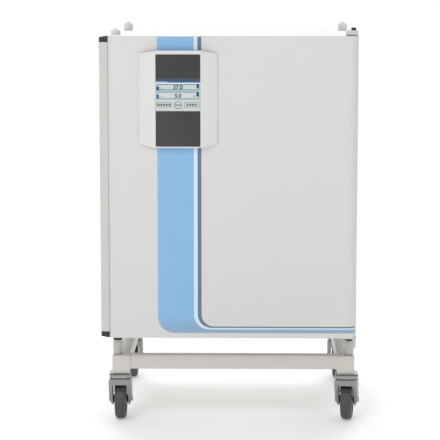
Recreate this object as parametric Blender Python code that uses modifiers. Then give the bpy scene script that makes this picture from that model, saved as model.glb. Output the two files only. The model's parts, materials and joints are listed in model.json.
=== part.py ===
"""Carbon dioxide incubator on a stand with casters.

Metres, +Z up, front towards -Y. While the pieces are made, x runs from the middle of the cabinet, y runs
back from the door's front face and z runs up from the floor. The root empty then carries everything to
the middle of the footprint.
"""

from math import cos, pi, radians, sin, tau

import bmesh
import bpy
from mathutils import Matrix, Vector

# Gap between faces that touch on the real piece, and around a shaft in its bore
SEAT = 0.0003
# How far a cutter reaches past what it cuts, and how far a joined piece sinks in
CUT_PAST = 0.010
SINK = 0.001

# Outer door
DOOR_HEIGHT = 0.921
DOOR_DEPTH = 0.055
DOOR_BOTTOM = 0.282
DOOR_SHEET = 0.0018
DOOR_HINGE_EDGE_RADIUS = 0.028
DOOR_EDGE_RADIUS = 0.0025
DOOR_FOLD_RADIUS = 0.0015
LINER_DEPTH = 0.022
LINER_SHEET = 0.0015
GASKET_GAP = 0.007
GASKET_WIDTH = 0.014
GASKET_INSET = 0.010
GASKET_GROOVE = 0.005
GASKET_CORNER_RADIUS = 0.012
GASKET_INNER_RADIUS = 0.004
LINER_CORNER_RADIUS = 0.003
LINER_LAND = 0.025
LINER_SLOPE = 0.010
LINER_PAN_RADIUS = 0.020

# Grip along the door's free edge
GRIP_REACH = 0.026
GRIP_PROUD = 0.007
GRIP_DEPTH = 0.034
GRIP_WALL = 0.005
GRIP_CAP_HEIGHT = 0.0185
GRIP_CAP_CHAMFER = 0.004
GRIP_NOSE_RADIUS = 0.005
GRIP_EDGE = 0.001
GRIP_END_INSET = 0.002

# Door hinge
HINGE_INSET = 0.016
HINGE_AXIS_DEPTH = 0.022
HINGE_PIN_RADIUS = 0.004
HINGE_PIN_CAP_RADIUS = 0.0075
HINGE_PIN_CAP_HEIGHT = 0.008
HINGE_PIN_REACH = 0.010
HINGE_BRACKET_WIDTH = 0.034
HINGE_BRACKET_DEPTH = 0.080
HINGE_LEAF = 0.003
HINGE_BLOCK_HEIGHT = 0.0138
HINGE_AIR = 0.0025
HINGE_SKIRT_HEIGHT = 0.030
HINGE_SKIRT_WIDTH = 0.0095
HINGE_EDGE_INSET = 0.003
HINGE_NOSE = 0.016
HINGE_BLOCK_REACH = 0.028
HINGE_EDGE = 0.001
HINGE_FOOT_ROOM = 0.003

# Control panel on the door
PANEL_FROM_EDGE = 0.21175
PANEL_WIDTH = 0.237
PANEL_FLAT_WIDTH = 0.1365
PANEL_TOP = 1.160
PANEL_BOTTOM = 0.868
PANEL_WING_DROP = 0.010
PANEL_WING_RISE = 0.0095
PANEL_PROUD = 0.025
PANEL_EDGE = 0.004
PANEL_FOLD_RADIUS = 0.001
DISPLAY_WIDTH = 0.1345
DISPLAY_HEIGHT = 0.277
DISPLAY_TOP = 1.149
DISPLAY_SHEET = 0.003
DISPLAY_CORNER_RADIUS = 0.0027
DISPLAY_EDGE = 0.0005

# Cabinet
SIDE_WALL = 0.0735
CABINET_BOTTOM = 0.285
CABINET_TOP = 1.1935
CABINET_BACK = 0.742
CABINET_SHEET = 0.0015
CABINET_CORNER_RADIUS = 0.006
FRAME_SHEET = 0.0018
FRAME_FOLD = 0.018
POCKET_DEPTH = 0.0145
POCKET_CLEARANCE = 0.005
POCKET_CORNER_RADIUS = 0.006
PIN_HOLE_PAST = 0.005

# Inner chamber
CHAMBER_WIDTH = 0.607
CHAMBER_HEIGHT = 0.670
CHAMBER_DEPTH = 0.576
CHAMBER_BOTTOM = 0.395
CHAMBER_CORNER_RADIUS = 0.030
CHAMBER_BACK_RADIUS = 0.020
CHAMBER_SHEET = 0.0015
CHAMBER_FLANGE = 0.015
CHAMBER_BACK_STEPS = 2
SUMP_WIDTH = 0.420
SUMP_DEPTH = 0.400
SUMP_DROP = 0.010
SUMP_JOIN = 0.0002
INSULATION = 0.035

# Inner glass door
GLASS_OVERLAP = 0.024
GLASS_FRAME_RAIL = 0.035
GLASS_FRAME_DEPTH = 0.0095
GLASS_REBATE = 0.0075
PANE_SHEET = 0.006
GLASS_BARREL_RADIUS = 0.003
GLASS_PIN_RADIUS = 0.0018
GLASS_PIN_PAST = 0.001
GLASS_CORNER_RADIUS = 0.004
GLASS_OPENING_RADIUS = 0.008
GLASS_BARREL_INSET = 0.004
LATCH_INSET = 0.0135
LATCH_TAIL = 0.031
LATCH_GRIP = 0.044
LATCH_LEVER_WIDTH = 0.012
LATCH_LEVER_SHEET = 0.005
LATCH_BOSS_RADIUS = 0.010
LATCH_SHAFT_RADIUS = 0.004
LATCH_SETBACK = 0.0015

# Shelves
SHELF_DEPTH = 0.480
SHELF_SETBACK = 0.032
SHELF_SHEET = 0.002
SHELF_LIP = 0.010
LOWEST_LEDGE = 0.075
LEDGE_PITCH = 0.080
LEDGE_COUNT = 7
SHELF_ON_LEDGE = {"shelf_lower": 1, "shelf_middle": 3, "shelf_upper": 5}
SLOT_ROWS = 4
SLOT_COLUMNS = 7
SLOT_WIDTH = 0.050
SLOT_LENGTH = 0.060
SLOT_MARGIN = 0.030
LADDER_SHEET = 0.003
LADDER_HEIGHT = 0.600
LADDER_WINDOW_RAIL = 0.030
LADDER_WINDOW_SILL = 0.012
LADDER_WINDOW_HEAD = 0.018
LEDGE_REACH = 0.012
LEDGE_SHEET = 0.003
LEDGE_INSET = 0.004

# Fan, sensor and port in the chamber's back wall
FAN_HEIGHT = 0.520
FAN_RADIUS = 0.058
FAN_DEPTH = 0.022
FAN_BLADES = 9
FAN_PLATE = 0.002
FAN_WALL_GAP = 0.008
FAN_SHAFT_RADIUS = 0.004
FAN_HUB_RADIUS = 0.012
FAN_BLADE_TIP = 0.0557
FAN_BLADE_SHEET = 0.0024
MOTOR_RADIUS = 0.036
MOTOR_LENGTH = 0.045
MOTOR_END_RADIUS = 0.0324
MOTOR_CHAMFER = 0.004
COVER_SIZE = 0.170
COVER_FLANGE = 0.012
COVER_DEPTH = 0.045
COVER_SHEET = 0.0015
COVER_SLOTS = 6
COVER_CORNER_RADIUS = 0.010
COVER_EDGE = 0.006
COVER_FACE_RADIUS = 0.008
COVER_SLOT_PITCH = 0.0227
COVER_SLOT_HEIGHT = 0.010
COVER_SLOT_WIDTH = 0.1224
SENSOR_X = 0.200
SENSOR_RADIUS = 0.011
SENSOR_LENGTH = 0.060
SENSOR_STEM_RADIUS = 0.0077
SENSOR_NECK_RADIUS = 0.0088
SENSOR_FLANGE_RADIUS = 0.0165
SENSOR_FLANGE = 0.004
SENSOR_NECK = 0.016
SENSOR_SHOULDER = 0.002
SENSOR_NOSE = 0.003
SENSOR_TAIL_INSET = 0.004
PORT_X = -0.200
PORT_HEIGHT = 0.520
PORT_RADIUS = 0.021
PORT_WALL = 0.0025
STOPPER_LENGTH = 0.055
STOPPER_HEAD_RADIUS = 0.027
STOPPER_HEAD = 0.012
STOPPER_END_RADIUS = 0.023
STOPPER_EDGE = 0.003
STOPPER_TIP_RADIUS = 0.0195

# Rear cover
REAR_BOX_WIDTH = 0.600
REAR_BOX_HEIGHT = 0.740
REAR_BOX_PROUD = 0.040
REAR_PLATE_INSET = 0.0015
REAR_SHEET = 0.0015
REAR_BOX_RADIUS = 0.010
SLEEVE_INSET = 0.0004
LOUVRE_ROWS = 5
LOUVRE_WIDTH = 0.160
LOUVRE_HEIGHT = 0.006
LOUVRE_PITCH = 0.024
LOUVRE_TOP = 1.060
LOUVRE_X = 0.060
INLET_X = 0.200
INLET_Z = 0.420
INLET_WIDTH = 0.050
INLET_HEIGHT = 0.030
INLET_BODY_WIDTH = 0.028
INLET_BODY_HEIGHT = 0.022
INLET_BODY_DEPTH = 0.026
INLET_PLATE = 0.0025
INLET_WALL = 0.003
INLET_BLADES = ((-0.007, -0.001), (0.007, -0.001), (0, 0.004))
INLET_BLADE_WIDTH = 0.002
INLET_BLADE_HEIGHT = 0.004
INLET_BLADE_SETBACK = 0.004
SWITCH_X = 0.135
SWITCH_WIDTH = 0.0135
SWITCH_HEIGHT = 0.0215
SWITCH_PROUD = 0.003
SWITCH_AIR = 0.0015
SWITCH_PIVOT_DEPTH = 0.004
SWITCH_ROCK = 0.0008
SWITCH_DISH = 0.001
SWITCH_ROOT = 0.006
GAS_X = -0.215
GAS_Z = 0.430
GAS_REACH = 0.0285
GAS_NUT_RADIUS = 0.011
GAS_BORE_RADIUS = 0.0025
GAS_STEM_RADIUS = 0.0066
GAS_BARB_RADIUS = 0.0046
GAS_WAIST_RADIUS = 0.0037
GAS_BARB_PITCH = 0.005
GAS_BARB_SLOPE = 0.004
GAS_NUT = 0.007
GAS_TAIL = 0.012

# Stacking studs on top and levelling feet below, on one grid
FOOT_INSET = 0.017
FOOT_SPACING_Y = 0.600
FRONT_FOOT_Y = 0.104
STUD_RADIUS = 0.015
STUD_HEIGHT = 0.0295
STUD_CONE = 0.015
STUD_TIP_RADIUS = 0.003
FOOT_RADIUS = 0.0147
FOOT_NUT_RADIUS = 0.017
FOOT_LOCK_HEIGHT = 0.038
FOOT_STEM_RADIUS = 0.0088
FOOT_NUT_DROP = 0.003
FOOT_NUT_HEIGHT = 0.009
FOOT_EDGE = 0.002

# Stand
RAIL_WIDTH = 0.053
RAIL_TOP = 0.211
RAIL_HEIGHT = 0.044
POST_DROP = 0.013
POST_FILLET = 0.008
STAND_INSET = 0.001
CROSS_RAIL_DEPTH = 0.038
CROSS_RAIL_INSET = 0.006
STAND_EDGE_RADIUS = 0.003
STAND_WALL = 0.0038

# Casters
CASTER_INSET = 0.023
WHEEL_RADIUS = 0.0625
WHEEL_WIDTH = 0.0375
WHEEL_EDGE_RADIUS = 0.010
WHEEL_WEB = 0.016
WHEEL_TREAD = 0.013
WHEEL_HUB_RADIUS = 0.017
WHEEL_ROOM = 0.003
CASTER_TRAIL = 0.024
FORK_WIDTH = 0.0706
FORK_WINDOW = 0.048
FORK_WINDOW_TOP = 0.116
FORK_TIP = 0.042
FORK_LEG_DEPTH = 0.036
FORK_SHOULDER = 0.003
FORK_TIP_SHEET = 0.003
FORK_EDGE = 0.002
CROWN_TAPER = 0.010
CROWN_SIDE = 0.016
HEAD_WIDTH = 0.065
HEAD_HEIGHT = 0.0175
HEAD_CHAMFER = 0.0104
HEAD_EDGE = 0.0025
KINGPIN_RADIUS = 0.008
KINGPIN_REACH = 0.006
AXLE_RADIUS = 0.006
AXLE_HEAD_RADIUS = 0.010
AXLE_HEAD = 0.003
AXLE_EDGE = 0.002
GUARD_RADIUS = 0.014
CASTER_TURN_DEG = {"front_left": 0, "front_right": -8, "rear_left": 0, "rear_right": 0}

# Derived places
CABINET_WIDTH = CHAMBER_WIDTH + 2 * SIDE_WALL
DOOR_WIDTH = CABINET_WIDTH
STAND_WIDTH = CABINET_WIDTH - 2 * STAND_INSET
FOOT_SPACING_X = CABINET_WIDTH - 2 * FOOT_INSET
PANEL_CENTRE_X = PANEL_FROM_EDGE - DOOR_WIDTH / 2
DOOR_TOP = DOOR_BOTTOM + DOOR_HEIGHT
DOOR_MIDDLE_Z = DOOR_BOTTOM + DOOR_HEIGHT / 2
DOOR_RIGHT = DOOR_WIDTH / 2
HINGE_X = DOOR_RIGHT - HINGE_INSET
FACE_Y = DOOR_DEPTH + GASKET_GAP
CABINET_HEIGHT = CABINET_TOP - CABINET_BOTTOM
CABINET_MIDDLE_Z = (CABINET_TOP + CABINET_BOTTOM) / 2
CABINET_INNER_WIDTH = CABINET_WIDTH - 2 * (CABINET_SHEET + SEAT)
CABINET_INNER_HEIGHT = CABINET_HEIGHT - 2 * (CABINET_SHEET + SEAT)
CHAMBER_MIDDLE_Z = CHAMBER_BOTTOM + CHAMBER_HEIGHT / 2
LEDGE_Y = FACE_Y + POCKET_DEPTH
MOUTH_Y = LEDGE_Y + FRAME_SHEET + SEAT
CHAMBER_BACK = MOUTH_Y + CHAMBER_DEPTH
INSULATION_BACK = CHAMBER_BACK + CHAMBER_SHEET + SEAT + INSULATION
GLASS_BACK = LEDGE_Y - SEAT
GLASS_FRONT = GLASS_BACK - GLASS_FRAME_DEPTH
GLASS_WIDTH = CHAMBER_WIDTH + 2 * GLASS_OVERLAP
GLASS_HEIGHT = CHAMBER_HEIGHT + 2 * GLASS_OVERLAP
POCKET_WIDTH = GLASS_WIDTH + 2 * POCKET_CLEARANCE
POCKET_HEIGHT = GLASS_HEIGHT + 2 * POCKET_CLEARANCE
GLASS_HINGE_X = GLASS_WIDTH / 2 + GLASS_BARREL_RADIUS / 3
LEDGE_TOPS = [CHAMBER_BOTTOM + LOWEST_LEDGE + LEDGE_PITCH * i for i in range(LEDGE_COUNT)]
FAN_Z = CHAMBER_BOTTOM + FAN_HEIGHT
PORT_Z = CHAMBER_BOTTOM + PORT_HEIGHT
REAR_PLATE_Y = CABINET_BACK - REAR_PLATE_INSET
REAR_FACE_Y = REAR_PLATE_Y + REAR_BOX_PROUD
DISPLAY_MIDDLE_Z = DISPLAY_TOP - DISPLAY_HEIGHT / 2
RAIL_BOTTOM = RAIL_TOP - RAIL_HEIGHT
POST_BOTTOM = RAIL_BOTTOM - POST_DROP
STAND_FRONT = FRONT_FOOT_Y - RAIL_WIDTH / 2
STAND_BACK = STAND_FRONT + FOOT_SPACING_Y + RAIL_WIDTH
HEAD_BOTTOM = POST_BOTTOM - HEAD_HEIGHT
CORNERS = {
    "front_left": (-1, 0),
    "front_right": (1, 0),
    "rear_left": (-1, 1),
    "rear_right": (1, 1),
}

WHITE = ((0.70, 0.70, 0.68), 0.45, 0.0)
PANEL_WHITE = ((0.74, 0.74, 0.73), 0.40, 0.0)
RAIL_PAINT = ((0.52, 0.51, 0.48), 0.50, 0.0)
STEEL = ((0.62, 0.62, 0.61), 0.30, 1.0)
CASTER_GREY = ((0.32, 0.32, 0.31), 0.50, 0.0)
RUBBER = ((0.05, 0.05, 0.055), 0.70, 0.0)
BLACK = ((0.03, 0.03, 0.03), 0.45, 0.0)
GREY = ((0.58, 0.57, 0.57), 0.45, 0.0)
GLASS = ((0.75, 0.85, 0.83), 0.05, 0.0)
DARK_GLASS = ((0.06, 0.065, 0.07), 0.15, 0.0)
FOAM = ((0.75, 0.70, 0.45), 0.90, 0.0)
SILICONE = ((0.75, 0.75, 0.72), 0.60, 0.0)
BRASS = ((0.70, 0.55, 0.28), 0.30, 1.0)


def clear_scene():
    for obj in list(bpy.data.objects):
        bpy.data.objects.remove(obj, do_unlink=True)


def make_collection(name):
    collection = bpy.data.collections.new(name)
    bpy.context.scene.collection.children.link(collection)
    return collection


def painted(obj, look):
    """Give the object its own Principled material from a colour, a roughness and a metallic value."""
    colour, roughness, metallic = look
    material = bpy.data.materials.new(obj.name + "_finish")
    material.use_nodes = True
    shader = material.node_tree.nodes["Principled BSDF"]
    shader.inputs["Base Color"].default_value = (*colour, 1.0)
    shader.inputs["Roughness"].default_value = roughness
    shader.inputs["Metallic"].default_value = metallic
    obj.data.materials.clear()
    obj.data.materials.append(material)
    return obj


def make_object(name, mesh, collection):
    obj = bpy.data.objects.new(name, mesh)
    collection.objects.link(obj)
    return obj


def settled(obj):
    """Make the evaluated shape the object's own mesh and drop its modifiers."""
    graph = bpy.context.evaluated_depsgraph_get()
    mesh = bpy.data.meshes.new_from_object(obj.evaluated_get(graph))
    obj.modifiers.clear()
    obj.data = mesh
    return obj


def combined(target, piece, operation):
    modifier = target.modifiers.new(operation.lower(), "BOOLEAN")
    modifier.operation = operation
    modifier.object = piece
    settled(target)
    bpy.data.objects.remove(piece, do_unlink=True)
    return target


def cut(target, *cutters):
    for cutter in cutters:
        combined(target, cutter, "DIFFERENCE")
    return target


def joined(target, *pieces):
    for piece in pieces:
        combined(target, piece, "UNION")
    return target


def crossed(target, piece):
    return combined(target, piece, "INTERSECT")


def softened(obj, width, segments=1):
    modifier = obj.modifiers.new("rounded edges", "BEVEL")
    modifier.width = width
    modifier.segments = segments
    modifier.limit_method = "ANGLE"
    modifier.angle_limit = radians(35)
    return settled(obj)


def smooth(obj):
    obj.data.shade_smooth()
    obj.data.set_sharp_from_angle(angle=radians(35))
    return obj


def moved(obj, offset):
    obj.data.transform(Matrix.Translation(offset))
    return obj


def turned_about(obj, point, degrees):
    """Turn the object's mesh about a vertical line through the point."""
    there = Matrix.Translation(point)
    obj.data.transform(there @ Matrix.Rotation(radians(degrees), 4, "Z") @ there.inverted())
    return obj


def pivoted(obj, point):
    """Put the object's origin on its joint's axis and leave its shape where it is."""
    moved(obj, -Vector(point))
    obj.location = Vector(point)
    return obj


def rounded_rectangle(width, height, radius, centre=(0, 0), steps=3):
    """Points of a rectangle with an arc at each corner, counter-clockwise."""
    points = []
    for index, (sx, sz) in enumerate(((1, 1), (-1, 1), (-1, -1), (1, -1))):
        middle_x = centre[0] + sx * (width / 2 - radius)
        middle_z = centre[1] + sz * (height / 2 - radius)
        for step in range(steps + 1):
            angle = (index + step / steps) * pi / 2
            points.append((middle_x + radius * cos(angle), middle_z + radius * sin(angle)))
    return points


def arc(centre, radius, start_deg, end_deg, steps):
    angles = [radians(start_deg + (end_deg - start_deg) * i / steps) for i in range(steps + 1)]
    return [(centre[0] + radius * cos(a), centre[1] + radius * sin(a)) for a in angles]


def extruded(name, loops, thickness, collection):
    """A flat filled outline, with the later loops as its holes, from z = 0 up to the thickness."""
    curve = bpy.data.curves.new(name, "CURVE")
    curve.dimensions = "2D"
    curve.fill_mode = "BOTH"
    curve.extrude = thickness / 2
    for loop in loops:
        spline = curve.splines.new("POLY")
        spline.points.add(len(loop) - 1)
        for point, (x, y) in zip(spline.points, loop):
            point.co = (x, y, 0, 1)
        spline.use_cyclic_u = True
    outline = make_object(name + "_outline", curve, collection)
    graph = bpy.context.evaluated_depsgraph_get()
    mesh = bpy.data.meshes.new_from_object(outline.evaluated_get(graph))
    bpy.data.objects.remove(outline, do_unlink=True)
    tidy = bmesh.new()
    tidy.from_mesh(mesh)
    bmesh.ops.remove_doubles(tidy, verts=tidy.verts, dist=1e-6)
    if len(loops) == 1:
        bmesh.ops.dissolve_limit(tidy, angle_limit=radians(1), verts=tidy.verts, edges=tidy.edges)
    bmesh.ops.recalc_face_normals(tidy, faces=tidy.faces)
    bmesh.ops.translate(tidy, vec=(0, 0, thickness / 2), verts=tidy.verts)
    tidy.to_mesh(mesh)
    tidy.free()
    return make_object(name, mesh, collection)


def floor_outline(name, loops, low, high, collection):
    """An outline in x and y, solid from z = low to z = high."""
    return moved(extruded(name, loops, high - low, collection), (0, 0, low))


def front_outline(name, loops, front, back, collection):
    """An outline in x and z, solid from y = front to y = back."""
    obj = extruded(name, loops, back - front, collection)
    obj.data.transform(Matrix.Rotation(pi / 2, 4, "X"))
    return moved(obj, (0, back, 0))


def side_outline(name, loops, left, right, collection):
    """An outline in y and z, solid from x = left to x = right."""
    obj = extruded(name, loops, right - left, collection)
    obj.data.transform(Matrix.Rotation(pi / 2, 4, "Z") @ Matrix.Rotation(pi / 2, 4, "X"))
    return moved(obj, (left, 0, 0))


def block(name, low, high, collection):
    return blocks(name, [(low, high)], collection)


def blocks(name, corners, collection):
    """One mesh of boxes, each between a low and a high corner."""
    solid = bmesh.new()
    for low, high in corners:
        low, high = Vector(low), Vector(high)
        cube = bmesh.ops.create_cube(solid, size=1)
        bmesh.ops.scale(solid, vec=high - low, verts=cube["verts"])
        bmesh.ops.translate(solid, vec=(low + high) / 2, verts=cube["verts"])
    mesh = bpy.data.meshes.new(name)
    solid.to_mesh(mesh)
    solid.free()
    return make_object(name, mesh, collection)


def revolved(name, profile, base, axis, steps, collection, ring=False, flats=False):
    """A turned solid. The profile's (radius, height) points run down its outer side, heights along the axis.

    With ring set, the profile closes on itself round a bore. With flats set, the facets and not their
    corners lie at the profile's radius, and one of them faces down.
    """
    mesh = bpy.data.meshes.new(name)
    stretch = 1 / cos(pi / steps) if flats else 1
    points = [(radius * stretch, 0, height) for radius, height in profile]
    edges = [(i, i + 1) for i in range(len(points) - 1)]
    if ring:
        edges.append((len(points) - 1, 0))
    mesh.from_pydata(points, edges, [])
    obj = make_object(name, mesh, collection)
    screw = obj.modifiers.new("turned", "SCREW")
    screw.steps = steps
    screw.render_steps = steps
    screw.use_merge_vertices = True
    screw.merge_threshold = 1e-6
    settled(obj)
    tidy = bmesh.new()
    tidy.from_mesh(obj.data)
    bmesh.ops.remove_doubles(tidy, verts=tidy.verts, dist=1e-6)
    bmesh.ops.recalc_face_normals(tidy, faces=tidy.faces)
    tidy.to_mesh(obj.data)
    tidy.free()
    if flats:
        obj.data.transform(Matrix.Rotation(pi / steps, 4, "Z"))
    if axis == "X":
        obj.data.transform(Matrix.Rotation(pi / 2, 4, "Y"))
    if axis == "Y":
        obj.data.transform(Matrix.Rotation(-pi / 2, 4, "X"))
    return moved(obj, base)


def rod(name, radius, base, length, axis, collection, steps=16):
    profile = [(0, length), (radius, length), (radius, 0), (0, 0)]
    return revolved(name, profile, base, axis, steps, collection)


def pressed_sheet(name, loops, thickness, collection, closed_end, inwards):
    """Sheet metal drawn through rounded rectangles, each (width, height, radius, middle z, y).

    The wall grows from the drawn surface towards its axis and the front when inwards is set, and away
    from its axis and towards the back when it is not.
    """
    sheet = bmesh.new()
    rings = []
    for width, height, radius, middle_z, y in loops:
        outline = rounded_rectangle(width, height, radius, (0, middle_z))
        rings.append([sheet.verts.new((x, y, z)) for x, z in outline])
    for near, far in zip(rings, rings[1:]):
        for i in range(len(near)):
            j = (i + 1) % len(near)
            sheet.faces.new((near[i], near[j], far[j], far[i]))
    if closed_end:
        sheet.faces.new(rings[-1])
    bmesh.ops.recalc_face_normals(sheet, faces=sheet.faces)
    mesh = bpy.data.meshes.new(name)
    sheet.to_mesh(mesh)
    sheet.free()
    obj = make_object(name, mesh, collection)
    wall = obj.modifiers.new("sheet", "SOLIDIFY")
    wall.thickness = thickness
    wall.use_even_offset = True
    wall.offset = sheet_side(obj, loops, inwards)
    return settled(obj)


def sheet_side(obj, loops, inwards):
    """Solidify's offset that puts the wall on the wanted side, from where the first face looks."""
    face = obj.data.polygons[0]
    middle_z = loops[0][3]
    outwards = Vector((face.center.x, 0, face.center.z - middle_z)).normalized() + Vector((0, 1, 0))
    looks_out = face.normal.dot(outwards) > 0
    return -1 if looks_out == inwards else 1


def foot_place(corner):
    side, row = CORNERS[corner]
    return (side * FOOT_SPACING_X / 2, FRONT_FOOT_Y + row * FOOT_SPACING_Y)


def make_stand(parts):
    """Two folded side rails, open below between their posts, and two cross rails of square tube."""
    past_post = RAIL_WIDTH + POST_FILLET + STAND_WALL
    channel_front = STAND_FRONT + past_post
    channel_back = STAND_BACK - past_post
    for side, hand in ((-1, "left"), (1, "right")):
        outer = side * STAND_WIDTH / 2
        left, right = sorted((outer, outer - side * RAIL_WIDTH))
        rail = side_outline(f"stand_rail_{hand}", [side_rail_outline()], left, right, parts)
        softened(rail, STAND_EDGE_RADIUS)
        channel_low = (left + STAND_WALL, channel_front, RAIL_BOTTOM - CUT_PAST)
        channel_high = (right - STAND_WALL, channel_back, RAIL_TOP - STAND_WALL)
        painted(cut(rail, block("channel", channel_low, channel_high, parts)), RAIL_PAINT)
    half = STAND_WIDTH / 2 - RAIL_WIDTH - SEAT
    for name, front in (
        ("stand_rail_front", STAND_FRONT + CROSS_RAIL_INSET),
        ("stand_rail_rear", STAND_BACK - CROSS_RAIL_INSET - CROSS_RAIL_DEPTH),
    ):
        back = front + CROSS_RAIL_DEPTH
        tube = block(name, (-half, front, RAIL_BOTTOM), (half, back, RAIL_TOP), parts)
        softened(tube, STAND_EDGE_RADIUS)
        hollow_low = (-half - CUT_PAST, front + STAND_WALL, RAIL_BOTTOM + STAND_WALL)
        hollow_high = (half + CUT_PAST, back - STAND_WALL, RAIL_TOP - STAND_WALL)
        painted(cut(tube, block("hollow", hollow_low, hollow_high, parts)), RAIL_PAINT)


def side_rail_outline():
    """A rail with a post at each end, which hangs lower and meets it in a fillet."""
    front_post = STAND_FRONT + RAIL_WIDTH
    back_post = STAND_BACK - RAIL_WIDTH
    fillet_z = RAIL_BOTTOM - POST_FILLET
    points = [(STAND_FRONT, RAIL_TOP), (STAND_FRONT, POST_BOTTOM), (front_post, POST_BOTTOM)]
    points += arc((front_post + POST_FILLET, fillet_z), POST_FILLET, 180, 90, 3)
    points += arc((back_post - POST_FILLET, fillet_z), POST_FILLET, 90, 0, 3)
    points += [(back_post, POST_BOTTOM), (STAND_BACK, POST_BOTTOM), (STAND_BACK, RAIL_TOP)]
    return points


def make_feet(parts):
    foot_bottom = RAIL_TOP + SEAT
    foot_top = CABINET_BOTTOM - SEAT
    lock = RAIL_TOP + FOOT_LOCK_HEIGHT
    nut_bottom = lock + FOOT_NUT_DROP
    nut_top = nut_bottom + FOOT_NUT_HEIGHT
    profile = [
        (0, foot_top),
        (FOOT_STEM_RADIUS, foot_top),
        (FOOT_STEM_RADIUS, nut_top),
        (FOOT_NUT_RADIUS, nut_top),
        (FOOT_NUT_RADIUS, nut_bottom),
        (FOOT_RADIUS - FOOT_EDGE, lock + FOOT_EDGE),
        (FOOT_RADIUS, lock),
        (FOOT_RADIUS, foot_bottom),
        (0, foot_bottom),
    ]
    for corner in CORNERS:
        x, y = foot_place(corner)
        foot = revolved(f"levelling_foot_{corner}", profile, (x, y, 0), "Z", 14, parts)
        painted(smooth(foot), GREY)


def make_studs(parts):
    profile = [
        (0, STUD_HEIGHT),
        (STUD_TIP_RADIUS, STUD_HEIGHT),
        (STUD_RADIUS, STUD_HEIGHT - STUD_CONE),
        (STUD_RADIUS, 0),
        (0, 0),
    ]
    for corner in CORNERS:
        x, y = foot_place(corner)
        base = (x, y, CABINET_TOP + SEAT)
        stud = revolved(f"stacking_stud_{corner}", profile, base, "Z", 14, parts)
        painted(smooth(stud), GREY)


def caster_pivot(corner):
    side, row = CORNERS[corner]
    return (side * (STAND_WIDTH / 2 - CASTER_INSET), FRONT_FOOT_Y + row * FOOT_SPACING_Y)


def make_caster(corner, parts):
    x, y = caster_pivot(corner)
    pivot = (x, y, 0)
    turn = CASTER_TURN_DEG[corner]
    pieces = (
        make_caster_head(corner, x, y, parts),
        make_caster_fork(corner, x, y, parts),
        make_caster_axle(corner, x, y, parts),
        make_caster_wheel(corner, x, y, parts),
    )
    for piece in pieces:
        turned_about(piece, pivot, turn)
    centre = Matrix.Rotation(radians(turn), 4, "Z") @ Vector((0, CASTER_TRAIL, WHEEL_RADIUS))
    pivoted(pieces[1], (x, y, HEAD_BOTTOM))
    pivoted(pieces[2], (x, y, HEAD_BOTTOM))
    pivoted(pieces[3], Vector(pivot) + centre)


def make_caster_head(corner, x, y, parts):
    """An eight-sided bearing housing with its kingpin below."""
    chamfer = HEAD_CHAMFER
    half = HEAD_WIDTH / 2
    outline = []
    for sx, sy in ((1, 1), (-1, 1), (-1, -1), (1, -1)):
        ends = [(sx * half, sy * (half - chamfer)), (sx * (half - chamfer), sy * half)]
        outline += ends if sx * sy > 0 else ends[::-1]
    outline = [(x + px, y + py) for px, py in outline]
    top = POST_BOTTOM - SEAT
    head = floor_outline(f"caster_head_{corner}", [outline], HEAD_BOTTOM, top, parts)
    softened(head, HEAD_EDGE)
    pin_base = (x, y, HEAD_BOTTOM - KINGPIN_REACH)
    pin = rod("kingpin", KINGPIN_RADIUS, pin_base, KINGPIN_REACH + SINK, "Z", parts, 12)
    return painted(joined(head, pin), CASTER_GREY)


def make_caster_fork(corner, x, y, parts):
    """Where the outline from the front and the outline from the side cross, less its bores."""
    half = FORK_WIDTH / 2
    window = FORK_WINDOW / 2
    crown = HEAD_BOTTOM - SEAT
    front = [(x - half + FORK_SHOULDER, crown), (x - half, crown - CROWN_TAPER), (x - half, WHEEL_RADIUS)]
    front += [(x - window - FORK_TIP_SHEET, FORK_TIP)]
    front += [(2 * x - px, pz) for px, pz in reversed(front)]
    reach = CASTER_TRAIL + WHEEL_RADIUS
    fork = front_outline(f"caster_fork_{corner}", [front], y - reach, y + reach, parts)
    opening = [(x - window, 0), (x - window, FORK_WINDOW_TOP - FORK_SHOULDER)]
    opening += [(x - window + FORK_SHOULDER, FORK_WINDOW_TOP)]
    opening += [(2 * x - px, pz) for px, pz in reversed(opening)]
    lean = FORK_LEG_DEPTH / 2
    boss = (y + CASTER_TRAIL, FORK_TIP + lean)
    side = [(y - HEAD_WIDTH / 2, crown - CROWN_SIDE), (y - HEAD_WIDTH / 2, crown)]
    side += [(y + HEAD_WIDTH / 2, crown), (y + HEAD_WIDTH / 2, crown - CROWN_SIDE)]
    side += arc(boss, lean, 0, -180, 8)
    crossed(fork, side_outline("side", [side], x - half - CUT_PAST, x + half + CUT_PAST, parts))
    softened(fork, FORK_EDGE)
    pin_bore = KINGPIN_RADIUS + SEAT
    bottom = HEAD_BOTTOM - KINGPIN_REACH - SEAT
    room = window - 2 * SEAT
    room_base = (x - room, y + CASTER_TRAIL, WHEEL_RADIUS)
    cut(
        fork,
        front_outline("window", [opening], y - reach - CUT_PAST, y + reach + CUT_PAST, parts),
        rod("wheel_room", WHEEL_RADIUS + WHEEL_ROOM, room_base, 2 * room, "X", parts, 20),
        rod("pin_bore", pin_bore, (x, y, bottom), KINGPIN_REACH + CUT_PAST, "Z", parts, 12),
        rod(
            "axle_bore",
            AXLE_RADIUS + SEAT,
            (x - half - CUT_PAST, y + CASTER_TRAIL, WHEEL_RADIUS),
            FORK_WIDTH + 2 * CUT_PAST,
            "X",
            parts,
            10,
        ),
    )
    return painted(fork, CASTER_GREY)


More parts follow.
